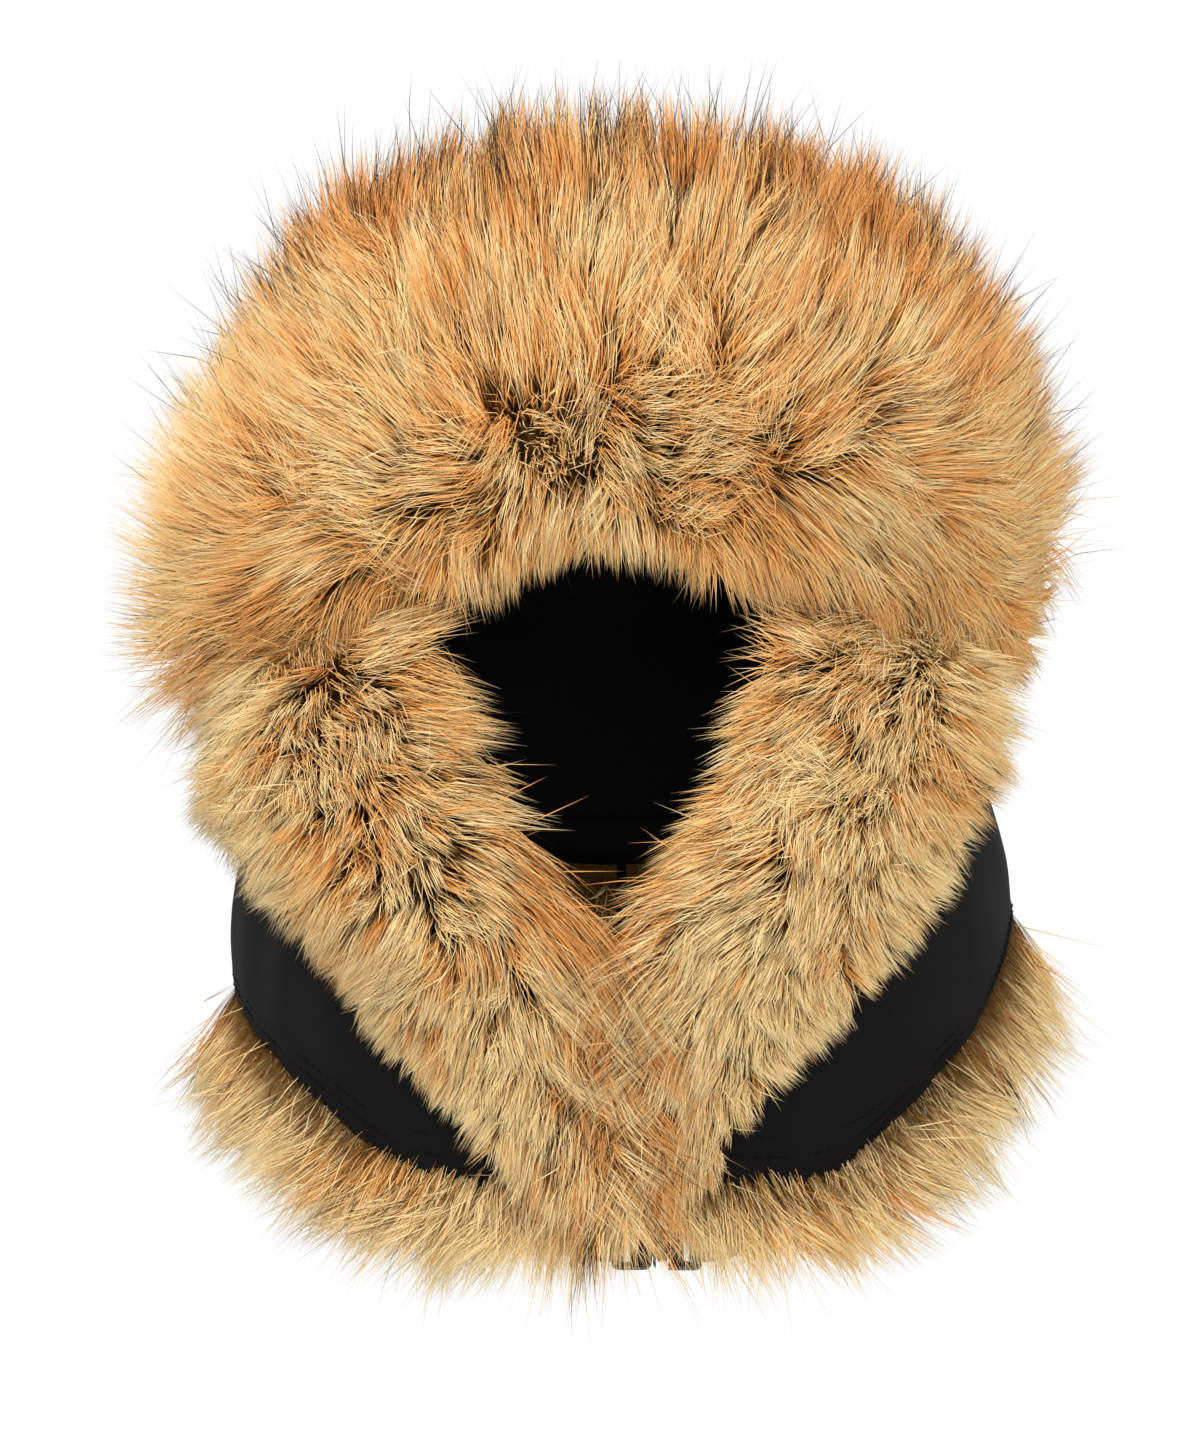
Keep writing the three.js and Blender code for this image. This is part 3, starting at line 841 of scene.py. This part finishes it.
def draw_together(path, guides, hold, power):
    """Bends hairs towards the guide that is rooted nearest, more and more towards the tip."""
    near = nearest(guides[:, 0], path[:, 0])
    guide = guides[near]
    own = np.linalg.norm(path[:, -1] - path[:, 0], axis=-1)
    theirs = np.linalg.norm(guide[:, -1] - guide[:, 0], axis=-1)
    scale = np.clip(own / theirs, 0.6, 1.3)[:, None, None]
    target = guide[:, :1] + (guide - guide[:, :1]) * scale
    s = np.linspace(0, 1, HAIR_STEPS + 1)[None, :, None] ** power
    return path + (target - path) * (s * hold), near


def within_reach(path):
    """Shortens the hairs whose tips would stand too far out of the solids' box."""
    low = np.array(CAD_BOX[0]) / MM - REACH
    high = np.array(CAD_BOX[1]) / MM + REACH
    root = path[:, :1]
    run = path[:, -1:] - root
    limit = np.where(run > 0, high - root, low - root)
    share = np.where(np.abs(run) > 1e-6, limit / np.where(run == 0, 1, run), 1.0)
    share = np.clip(share, 0.2, 1.0).min(axis=-1, keepdims=True)
    return root + (path - root) * share


def spin_hairs(path, tone, radius, rings):
    """Closed hairs as points, faces and map: pointed at both ends, with rings between them."""
    n = len(path)
    count = 2 + 3 * len(rings)
    along = unit(np.gradient(path, axis=1))
    points = np.empty((n, count, 3))
    uv = np.empty((n, count, 2))
    points[:, 0] = path[:, 0]
    points[:, -1] = path[:, -1]
    uv[:, 0] = np.stack([tone, np.full(n, 0.01)], axis=1)
    uv[:, -1] = np.stack([tone, np.full(n, 0.99)], axis=1)
    e1 = unit(np.cross(along[:, rings[0]], path[:, -1] * 0 + [0.36, 0.48, 0.8]))
    for k, ring in enumerate(rings):
        t = along[:, ring]
        e1 = unit(e1 - t * (e1 * t).sum(-1, keepdims=True))
        e2 = np.cross(t, e1)
        wide = radius * (1.0 - 0.35 * k)
        for j in range(3):
            a = j * 2 * math.pi / 3
            at = 1 + 3 * k + j
            points[:, at] = path[:, ring] + wide[:, None] * (math.cos(a) * e1 + math.sin(a) * e2)
            uv[:, at, 0] = tone + 0.0012 * (j - 1)
            uv[:, at, 1] = ring / HAIR_STEPS
    faces = []
    last = count - 4
    for j in range(3):
        n1 = (j + 1) % 3
        faces.append((0, 1 + n1, 1 + j))
        faces.append((last + j, last + n1, count - 1))
        for k in range(len(rings) - 1):
            low = 1 + 3 * k
            faces.append((low + j, low + n1, low + 3 + n1))
            faces.append((low + j, low + 3 + n1, low + 3 + j))
    index = np.array(faces)[None] + (np.arange(n) * count)[:, None, None]
    return points.reshape(-1, 3), index.reshape(-1, 3), uv.reshape(-1, 2)


def hair_mesh(name, path, tone, rng, thick):
    """One object of many hairs. Most bend once, and a few bend twice."""
    radius = thick * rng.uniform(0.7, 1.2, len(path))
    radius = np.where((tone > TONES[2]) & (tone < TONES[3]), 0.75 * radius, radius)
    twice = rng.random(len(path)) < BEND_TWICE_SHARE
    once_part = spin_hairs(path[~twice], tone[~twice], radius[~twice], (3,))
    twice_part = spin_hairs(path[twice], tone[twice], radius[twice], (2, 4))
    points, index, uv = (np.concatenate(pair) for pair in zip(once_part, twice_part))
    index[len(once_part[1]):] += len(once_part[0])
    mesh = bpy.data.meshes.new(name)
    mesh.vertices.add(len(points))
    mesh.vertices.foreach_set("co", (points.reshape(-1) * MM).astype(np.float32))
    mesh.loops.add(len(index) * 3)
    mesh.loops.foreach_set("vertex_index", index.reshape(-1).astype(np.int32))
    mesh.polygons.add(len(index))
    mesh.polygons.foreach_set("loop_start", np.arange(len(index), dtype=np.int32) * 3)
    mesh.update(calc_edges=True)
    mesh.polygons.foreach_set("use_smooth", np.ones(len(index), dtype=bool))
    layer = mesh.uv_layers.new(name="OFBake")
    layer.uv.foreach_set("vector", uv[index.reshape(-1)].reshape(-1).astype(np.float32))
    return add_object(name, mesh)


def tones(warm, dark, cream):
    """Tones for a pile: shares of rust, black-tipped and cream hairs among the golden ones."""

    def pick(u, v, path, draw, place):
        patch = 0.5 + 0.5 * smooth_noise(path[:, 0], 22, 5)
        w = warm(u, v) * (0.3 + 1.4 * patch)
        k = w + dark(u, v)
        c = k + cream(u, v) * (1.5 - patch)
        kind = (draw < w) * 1 + ((draw >= w) & (draw < k)) * 2 + ((draw >= k) & (draw < c)) * 3
        kind = np.where(draw > 1.5, 2, kind)
        starts = np.array(TONES)
        return mix(starts[kind] + 0.005, starts[kind + 1] - 0.005, place)

    return pick


def flat(value):
    return lambda u, v: np.full(np.shape(u), float(value))


def brow_depth(u, v):
    side = np.abs(2 * u - 1)
    swell = arc(v, 0.1, 0.82) ** 0.5 * arc(u, 0.06, 0.94) ** 0.25
    return 4 + 29 * (1 + 0.4 * side**2) * swell


def brow_back(u, v):
    """The brow flap's outer face, under its fur."""
    return brow_point(u, v, BROW["wall"] + BROW_GAP)[0]


def brow_pelt(u, v):
    """The outer face of the brow's undercoat, which turns in round its ends and its edges."""
    face = np.clip(v, 0, 1)
    along = np.clip(0.5 + (u - 0.5) / 0.93, 0, 1)
    foot, angle = brow_point(along, mix(0.02, 0.98, face), BROW["wall"] + BROW_GAP)
    p = foot + outward(1, angle) * brow_depth(along, face)[..., None]
    p[..., 2] += 21 * face**3 - 7 * (1 - face) ** 3
    over = rise(v, 1, 0.16)
    under = rise(v, 0, -0.1)
    end = rise(np.abs(2 * u - 1), 0.93, 0.07)
    turned = np.maximum(0.94 * np.maximum(over, end), 0.9 * under)
    return mix(p, foot, turned[..., None])


def brow_comb(u, v, root):
    """The lie of the brow's fur: out from a whorl over the nose, up above it and down below."""
    angle = mix(-BROW["spread"], BROW["spread"], u)
    side = np.abs(2 * u - 1)
    parting = 0.08 * np.tanh((angle + 4) / 26) + 0.03 * smooth_noise(root, 34, 30)
    parting -= 0.3 * rise(angle, 48, 32)
    swirl = 18 * smooth_noise(root, 24, 31)
    up = np.clip(v - parting, 0, 1.1)
    fan = np.radians(read(BROW_FAN, "angle", up) * (1 - 0.28 * side**2) + swirl)
    sweep = np.tanh((angle + 8) / 10) * (0.06 + 0.5 * hump(up, 0.14, 0.14) + 0.42 * side**2)
    sweep += 0.28 * smooth_noise(root, 22, 32) + 0.6 * rise(u, 0.86, 0.14)
    comb = outward(1, angle) * 0.7 * np.cos(fan)[:, None] + backward(1, angle) * sweep[:, None]
    comb[:, 2] = np.sin(fan) - 0.25 * side**2 * (u < 0.5)
    return comb


def brow_length(u, v):
    """Lengths for the brow: shorter at its left foot and over the face."""
    side = np.abs(2 * u - 1)
    trim = np.where(u < 0.5, -0.16, 0.04) * side**2
    low = 0.5 * rise(u, 0.78, 0.16) * rise(v, 0.55, -0.3)
    arch = 0.42 * hump(u, 0.475, 0.11) * rise(v, 0.3, -0.25)
    return read(BROW_FAN, "length", v) * (1 - trim - low - arch)


def brow_top(v):
    return rise(v, 0.5, 0.35)


def cheek_place(side, u, v):
    name = side_name(side)
    z = mix(-30.0, HEM[name][1] + 4, v)
    edge = read(FRONT, name + "_edge", z) - 1
    return z, mix(edge, read(FRONT, name + "_fur", z), u)


def cheek_back(side, u, v):
    z, angle = cheek_place(side, u, v)
    return skin(side, angle, z, FLAP_GAP)


def cheek_pelt(side, u, v):
    """The outer face of the fur along the front of a flap."""
    z, angle = cheek_place(side, u, v)
    swell = arc(u, 0.06, 0.94) ** 0.6 * arc(v, 0.2, 0.9) ** 0.4
    return skin(side, angle, z, FLAP_GAP + 2 + 12 * swell)


def cheek_comb(side, u, v, root):
    _, angle = cheek_place(side, u, v)
    swirl = 16 * smooth_noise(root, 22, 41 + side)
    fan = np.radians(read(CHEEK_FAN, side_name(side), u) + swirl)
    lie = outward(side, angle) * 0.6 * np.cos(fan)[:, None]
    lie += backward(side, angle) * np.sin(fan)[:, None]
    down = 0.2 + 0.3 * u + 1.0 * v + 1.9 * np.clip(v - 0.45, 0, 1) * fade(u, 0.3)
    lie[:, 2] = 0.22 * smooth_noise(root, 20, 43 + side) - down
    return lie


def cheek_length(side, u, v):
    """Lengths for one cheek: longest where the two flaps meet, short over the face."""
    low = rise(v, 0.8, 0.2) * (1 - 0.6 * u)
    inner = fade(u, 0.14)
    over = 0.3 * hump(v, 0.54, 0.1) * inner
    short = (0.45 if side > 0 else 0.12) * hump(v, 0.3, 0.16) * inner
    trim = 0.15 * v - 0.65 * u * v + 0.3 * low + over - short
    return read(CHEEK_FAN, "length", u) * (1 + trim)


def cheek_share(u, v):
    """More hairs where the fur parts, so that its foot stays covered."""
    return 1 + 0.7 * hump(u, 0.6, 0.16)


def lining_pelt(side, u, v):
    """The inner face of the fur that lines a flap, and past v 1 its edge under the hem."""
    face = np.clip(v, 0, 1)
    p, _ = flap_point(side, mix(0.005, 0.995, u), mix(0.1, 1, face))
    depth = (3 + 7 * arc(face, 0.1, 0.86) ** 0.6) * (1 - 0.95 * rise(v, 1, 0.1))
    z = p[..., 2] + 3 * face**8
    return skin(side, np.maximum(angle_at(side, p), 1), z, -SHELL_WALL - FLAP_GAP - depth)


def lining_back(side, u, v):
    p = lining_pelt(side, u, v)
    return skin(side, angle_at(side, p), p[:, 2], -SHELL_WALL - FLAP_GAP)


def lining_comb(side, u, v, root):
    angle = angle_at(side, root)
    slope = np.sin(math.pi * np.clip(u / 0.6, 0, 0.86)) ** 0.7
    low = rise(v, 0.8, 0.3)
    reach = mix(-0.35, 0.55 + 0.4 * slope, low) + 0.1 * smooth_noise(root, 20, 51 + side)
    sweep = mix(-0.7 * fade(u, 0.05), 0.55 * slope, low)
    lie = outward(side, angle) * reach[:, None] + backward(side, angle) * sweep[:, None]
    lie[:, 2] = 0.3 * slope * low - 0.9
    return lie


def lining_length(side, u, v):
    """Lengths for one flap: the left one leaves the buckle's foot bare beside the parting."""
    parting = 1 - 0.45 * hump(u, 0.03, 0.022) * (side > 0)
    return parting * mix(28.0, 43.0 + 9 * fade(u, 0.3), rise(v, 0.6, 0.3))


def lining_share(u, v):
    """Where the hairs inside a flap are spent: most round its hem and front edge."""
    return 0.35 + 4.0 * (v > 0.86) + 1.2 * (u < 0.06) + 0.7 * (u > 0.8) * (v < 0.5)


def cloth_offset(side, p):
    """How far points stand out from the hat's skin, and their angle round it."""
    half_width = read(SKIN, "half_width", p[..., 2])
    front = read(SKIN, "front", p[..., 2])
    back = read(SKIN, "back", p[..., 2])
    reach = np.where(p[..., 1] < 0, front, back)
    angle = np.degrees(np.arctan2(side * p[..., 0] / half_width, -p[..., 1] / reach))
    ratio = np.hypot(p[..., 0] / half_width, p[..., 1] / reach)
    size = np.hypot(p[..., 0], p[..., 1]) / np.maximum(ratio, 1e-6)
    return (ratio - 1) * size, angle, ratio, size


def hold_off(p, wanted, ratio, size, where):
    """Moves the chosen points straight in or out until they stand at the wanted offset."""
    scale = np.where(where, (1 + wanted / size) / np.maximum(ratio, 1e-6), 1.0)
    moved = p.copy()
    moved[..., :2] *= scale[..., None]
    return moved


def inside_flap(side, path):
    """Holds hairs above the hem inside a flap's wall."""
    offset, angle, ratio, size = cloth_offset(side, path)
    hem = read(HEM, side_name(side), np.abs(angle))
    inner = -SHELL_WALL - CLEAR_INSIDE
    through = (offset > inner) & (path[..., 2] > hem - 0.5)
    return hold_off(path, inner, ratio, size, through)


def outside_flap(side, path):
    """Holds hairs outside a flap's wall, but for their roots."""
    offset, angle, ratio, size = cloth_offset(side, path)
    edge = read(FRONT, side_name(side) + "_edge", path[..., 2])
    through = (offset < CLEAR_OUTSIDE) & (angle > edge - 2)
    through[..., 0] = False
    return hold_off(path, CLEAR_OUTSIDE, ratio, size, through)


def lay_undercoat(place, end, surface, back, columns, rows, lumps):
    """The closed body under one bed of fur, from its back face to its lumpy outer face."""
    piece, u, v = grid(place + "_undercoat" + end, columns, rows)
    face = surface(u, v)
    behind = back(u, v)
    lump = lumps * (0.5 + 0.5 * smooth_noise(face, 9, 61))
    face = face - unit(face - behind) * lump[:, None]
    flat_places = corners(piece)
    select_only(piece)
    bpy.ops.object.mode_set(mode="EDIT")
    bpy.ops.mesh.select_all(action="SELECT")
    bpy.ops.mesh.extrude_region_move(TRANSFORM_OT_translate={"value": (0, 0, 1)})
    bpy.ops.object.mode_set(mode="OBJECT")
    co = corners(piece)
    pick = nearest(flat_places, co * [1, 1, 0])
    placed = np.where(co[:, 2:] > 0.5, face[pick], behind[pick])
    piece.data.vertices.foreach_set("co", (placed * MM).ravel())
    face_outward()
    smooth(60)
    settle(piece, "undercoat", [place + "_fur" + end])


def lay_hairs(name, path, tone, rng):
    radius = bpy.context.scene.hat_pile.hair_radius / MM
    settle(hair_mesh(name, path, tone, rng, radius), "fur")


def grow_on_flaps(kind, makers, shape, tone, count, seed, **more):
    """One kind of fur on both flaps: its undercoat, then its hairs."""
    for side in (1, -1):
        end = "_" + side_name(side)
        surface, back, comb, length, clear = (partial(maker, side) for maker in makers)
        lay_undercoat(kind, end, surface, back, *shape)
        bed = Pile(surface, comb, length, tone, count, seed + side, clear=clear, **more)
        path, hue = bed.grow()
        lay_hairs(kind + "_hair" + end, path, hue, np.random.default_rng(seed + 2 + side))


def colour_of(name, description, default):
    return FloatVectorProperty(
        name=name, description=description, default=default, subtype="COLOR", size=3, min=0, max=1
    )


class HatFinish(bpy.types.PropertyGroup):
    """Colours of the hat."""

    # The root colour is partly the fur's own dark roots and partly painted shade deep in the pile.
    fur_root: colour_of("Fur root", "Colour deep in the pile", (0.085, 0.055, 0.022))
    fur_body: colour_of("Fur body", "Colour of the golden hairs", (0.92, 0.48, 0.135))
    fur_tip: colour_of("Fur tip", "Colour of pale tips", (1.0, 0.80, 0.42))
    fur_rust: colour_of("Fur rust", "Colour of the warm hairs", (0.85, 0.36, 0.078))
    shell_colour: colour_of("Shell", "Colour of the outer cloth", (0.0026, 0.0024, 0.0025))


class HatPile(bpy.types.PropertyGroup):
    """Number and thickness of the hairs."""

    brow_hairs: IntProperty(
        name="Brow hairs", description="Hairs on each half of the brow", default=30000, min=100,
    )
    cheek_hairs: IntProperty(
        name="Cheek hairs", description="Hairs on each cheek", default=21500, min=100,
    )
    lining_hairs: IntProperty(
        name="Lining hairs", description="Hairs inside each flap", default=15500, min=100,
    )
    hair_radius: FloatProperty(
        name="Hair radius", description="Thickness of a hair's foot, in metres",
        default=0.00021, unit="LENGTH", precision=5,
    )


class HAT_OT_crown(bpy.types.Operator):
    """Makes the crown's shell and its lining"""

    bl_idname = "hat.crown"
    bl_label = "Crown"

    def execute(self, context):
        shell = cloth("crown_cloth", 104, 36, partial(crown_surface, 0.0, True), SHELL_WALL)
        settle(shell, "shell_cloth", ["crown_shell"])
        rows = []
        for arch in ("across", "back"):
            for off in (-STITCH_OFF, STITCH_OFF):
                rows += stitches(crown_seam(arch, off))
        settle(gather("crown_stitches", rows), "shell_cloth")
        inner = partial(crown_surface, LINING_INSET, False)
        lining = cloth("crown_lining_cloth", 80, 30, inner, LINING_WALL)
        settle(lining, "lining_cloth", ["crown_lining"])
        return {"FINISHED"}


class HAT_OT_bindings(bpy.types.Operator):
    """Makes the welt round the rim, the sweatband inside it and the tape on the back seam"""

    bl_idname = "hat.bindings"
    bl_label = "Bindings"

    def execute(self, context):
        angle = np.linspace(54, 306, 90)
        folded = np.minimum(angle, 360 - angle)
        welt = skin(np.where(angle > 180, -1, 1), folded, rim_z(folded) - 0.2, 0.6)
        settle(gather("rim_welt", [rod(welt, 1.5, 10)]), "shell_cloth")
        settle(cloth("sweatband", 96, 6, self.band, BAND_WALL), "lining_cloth")
        settle(cloth("back_seam_tape", 4, 24, self.tape, BAND_WALL), "shell_cloth")
        z = np.linspace(TAPE["foot"] + 1.2, rim_z(180.0) - 3, 40)
        rows = []
        for turn in (-TAPE["stitch_angle"], TAPE["stitch_angle"]):
            rows += stitches(skin(1, 180 + turn, z, 0.4))
        settle(gather("back_seam_stitches", rows), "shell_cloth")
        return {"FINISHED"}

    def band(self, u, v):
        """The sweatband, which rises over the face opening."""
        turn = 360 * u - 180
        from_front = np.abs(turn)
        round_side = ease(rise(from_front, 46, 16))
        foot = mix(0.6, -13.0, round_side)
        z = rim_z(from_front) + mix(foot, mix(19.0, 9.0, round_side), v)
        p = skin(np.where(turn < 0, -1, 1), from_front, np.minimum(z, 0), -BAND_INSET)
        p[:, :2] *= dome_spread(z, CROWN_HEIGHT - BAND_INSET)[:, None]
        p[:, 2] = z
        return p

    def tape(self, u, v):
        """The tape over the seam at the nape."""
        angle = 180 + TAPE["half_angle"] * (1 - 2 * u)
        return skin(1, angle, mix(TAPE["foot"], rim_z(180.0) - 1.0, v), 0.3)


class HAT_OT_brow_flap(bpy.types.Operator):
    """Makes the turned-up flap that carries the brow's fur"""

    bl_idname = "hat.brow_flap"
    bl_label = "Brow flap"

    def execute(self, context):
        def place(u, v):
            return brow_point(1 - u, v, BROW["wall"])[0]

        settle(cloth("brow_flap_cloth", 80, 16, place, BROW["wall"]), "shell_cloth", ["brow_flap"])
        return {"FINISHED"}


class HAT_OT_ear_flaps(bpy.types.Operator):
    """Makes both ear flaps with their hems and topstitching"""

    bl_idname = "hat.ear_flaps"
    bl_label = "Ear flaps"

    def execute(self, context):
        for side in (1, -1):
            name = side_name(side)
            surface = partial(flap_surface, side)
            flap = cloth("ear_flap_cloth_" + name, 84, 54, surface, SHELL_WALL)
            settle(flap, "shell_cloth", ["ear_flap_" + name])
            u = np.linspace(0.02, 0.985, 260)
            rows = []
            for v in (0.955, 0.925):
                p, angle = flap_point(side, u, np.full_like(u, v), 0.1)
                rows += stitches(p + outward(side, angle) * -0.75)
            settle(gather("hem_stitches_" + name, rows), "shell_cloth")
        return {"FINISHED"}


class HAT_OT_brow_fur(bpy.types.Operator):
    """Grows the fur of the brow"""

    bl_idname = "hat.brow_fur"
    bl_label = "Brow fur"

    def execute(self, context):
        lay_undercoat("brow", "", brow_pelt, brow_back, 90, 28, 3.0)
        tone = tones(
            lambda u, v: 0.16 + 0.42 * brow_top(v),
            lambda u, v: 0.04 + 0.12 * brow_top(v) + 0.2 * rise(v, 0.75, 0.2),
            lambda u, v: 0.42 * np.clip(0.3 + v / 0.25, 0, 1) - 0.36 * brow_top(v),
        )
        bed = Pile(
            brow_pelt, brow_comb, brow_length, tone, 2 * context.scene.hat_pile.brow_hairs, 101,
            span=(-0.08, 1.14),
            guards=lambda u, v: 0.15 + 0.75 * brow_top(v),
            keep=lambda u, v: 1 + 1.2 * hump(v, 0.24, 0.12),
            rough=lambda u, v: 1 + 1.3 * hump(v, 0.24, 0.1) * hump(u, 0.46, 0.2),
        )
        path, hue = bed.grow()
        rng = np.random.default_rng(102)
        for side, part in ((-1, path[:, 0, 0] < 0), (1, path[:, 0, 0] >= 0)):
            lay_hairs("brow_hair_" + side_name(side), path[part], hue[part], rng)
        return {"FINISHED"}


class HAT_OT_cheek_fur(bpy.types.Operator):
    """Grows the fur along the front of each flap"""

    bl_idname = "hat.cheek_fur"
    bl_label = "Cheek fur"

    def execute(self, context):
        # Rust and black-tipped hairs gather at the front edge low down, where the two flaps meet.
        # The black tips there are painted shadow of the gap between the flaps, and the rust is
        # partly the fur's own colour and partly painted shade.
        tone = tones(
            lambda u, v: 0.07 + 0.8 * fade(u, 0.2) * rise(v, 0.25, 0.5),
            lambda u, v: 0.05 + 0.3 * fade(u, 0.12) * rise(v, 0.3, 0.5),
            lambda u, v: 0.7 - 0.55 * fade(u, 0.2),
        )
        makers = (cheek_pelt, cheek_back, cheek_comb, cheek_length, outside_flap)
        count = context.scene.hat_pile.cheek_hairs
        grow_on_flaps("cheek", makers, (28, 60, 2.0), tone, count, 111, keep=cheek_share)
        return {"FINISHED"}


class HAT_OT_lining_fur(bpy.types.Operator):
    """Grows the fur inside each flap and its fringe below the hem"""

    bl_idname = "hat.lining_fur"
    bl_label = "Lining fur"

    def execute(self, context):
        tone = tones(flat(0.08), flat(0.04), flat(0.8))
        makers = (lining_pelt, lining_back, lining_comb, lining_length, inside_flap)
        count = context.scene.hat_pile.lining_hairs
        more = {"keep": lining_share, "span": (0.0, 1.1)}
        grow_on_flaps("lining", makers, (80, 34, 1.5), tone, count, 121, **more)
        return {"FINISHED"}


class HAT_OT_chin_strap(bpy.types.Operator):
    """Finishes the chin strap and its buckle"""

    bl_idname = "hat.chin_strap"
    bl_label = "Chin strap"

    def execute(self, context):
        jobs = (
            ("chin_strap_left", "webbing", 0.0002, 1),
            ("chin_strap_right", "webbing", 0.0002, 1),
            ("buckle_socket", "buckle", 0.0007, 3),
            ("buckle_plug", "buckle", 0.0007, 3),
        )
        for node, finish, width, segments in jobs:
            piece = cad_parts[node].copy()
            piece.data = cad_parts[node].data.copy()
            piece.name = node + "_finished"
            piece.parent = None
            context.scene.collection.objects.link(piece)
            select_only(piece)
            bpy.ops.object.mode_set(mode="EDIT")
            bpy.ops.mesh.select_all(action="SELECT")
            bpy.ops.mesh.remove_doubles(threshold=1e-6)
            bpy.ops.mesh.dissolve_limited(angle_limit=math.radians(1))
            bpy.ops.object.mode_set(mode="OBJECT")
            apply_modifier(
                piece, "BEVEL", "rounded_edges", width=width, segments=segments,
                limit_method="ANGLE", angle_limit=math.radians(35),
            )
            smooth(40)
            settle(piece, finish, [node])
        return {"FINISHED"}


class HAT_OT_stage(bpy.types.Operator):
    """Sets the pale floor, the soft lights and the camera"""

    bl_idname = "hat.stage"
    bl_label = "Stage"

    def execute(self, context):
        scene = context.scene
        deselect()
        bpy.ops.mesh.primitive_plane_add(size=24, location=(0, 0, FLOOR_Z))
        floor = context.object
        floor.name = "floor"
        pale = Finish("pale_floor", Base_Color=(0.86, 0.86, 0.86), Roughness=0.9)
        floor.data.materials.append(pale.material)
        world = bpy.data.worlds.new("soft_studio")
        scene.world = world
        world.use_nodes = True
        sky = world.node_tree.nodes["Background"]
        sky.inputs["Color"].default_value = (1, 1, 1, 1)
        sky.inputs["Strength"].default_value = 1.0
        lights = (
            ("key", (-0.9, -1.7, 1.1), 1.0, 26),
            ("fill", (0.5, -1.9, -0.6), 1.4, 15),
            ("top", (0.1, 0.1, 1.5), 1.2, 9),
        )
        for name, place, size, power in lights:
            bpy.ops.object.light_add(type="AREA", location=place)
            lamp = context.object
            lamp.name = name
            lamp.data.size = size
            lamp.data.energy = power
            self.point(lamp, Vector(LIGHT_AIM) - Vector(place))
        camera = add_object("camera", bpy.data.cameras.new("camera"))
        lift = math.radians(CAMERA_LIFT)
        back = Vector((0, -math.cos(lift), math.sin(lift)))
        camera.location = Vector(CAMERA_AIM) * MM + back * CAMERA_DISTANCE
        self.point(camera, -back)
        camera.data.sensor_width = SENSOR
        camera.data.lens = SENSOR * CAMERA_DISTANCE / (PICTURE_HEIGHT * MM)
        scene.camera = camera
        scene.view_settings.view_transform = "Standard"
        return {"FINISHED"}

    def point(self, thing, direction):
        """Turns a lamp or the camera to look along a direction."""
        thing.rotation_mode = "QUATERNION"
        thing.rotation_quaternion = direction.to_track_quat("-Z", "Y")


class HAT_PT_panel(bpy.types.Panel):
    """Lists the hat's pieces"""

    bl_label = "Aviator hat"
    bl_space_type = "VIEW_3D"
    bl_region_type = "UI"
    bl_category = "Hat"

    def draw(self, context):
        for operator in OPERATORS:
            self.layout.operator(operator.bl_idname)
        for group in (context.scene.hat_finish, context.scene.hat_pile):
            for key in group.__annotations__:
                self.layout.prop(group, key)


OPERATORS = (
    HAT_OT_crown,
    HAT_OT_bindings,
    HAT_OT_brow_flap,
    HAT_OT_ear_flaps,
    HAT_OT_brow_fur,
    HAT_OT_cheek_fur,
    HAT_OT_lining_fur,
    HAT_OT_chin_strap,
    HAT_OT_stage,
)
CLASSES = (HatFinish, HatPile, *OPERATORS, HAT_PT_panel)


def register():
    for cls in CLASSES:
        bpy.utils.register_class(cls)
    bpy.types.Scene.hat_finish = PointerProperty(type=HatFinish)
    bpy.types.Scene.hat_pile = PointerProperty(type=HatPile)


def unregister():
    del bpy.types.Scene.hat_pile
    del bpy.types.Scene.hat_finish
    for cls in reversed(CLASSES):
        bpy.utils.unregister_class(cls)


def main():
    register()
    bpy.ops.hat.crown()
    bpy.ops.hat.bindings()
    bpy.ops.hat.brow_flap()
    bpy.ops.hat.ear_flaps()
    bpy.ops.hat.brow_fur()
    bpy.ops.hat.cheek_fur()
    bpy.ops.hat.lining_fur()
    bpy.ops.hat.chin_strap()
    bpy.ops.hat.stage()


if __name__ == "__main__":
    main()
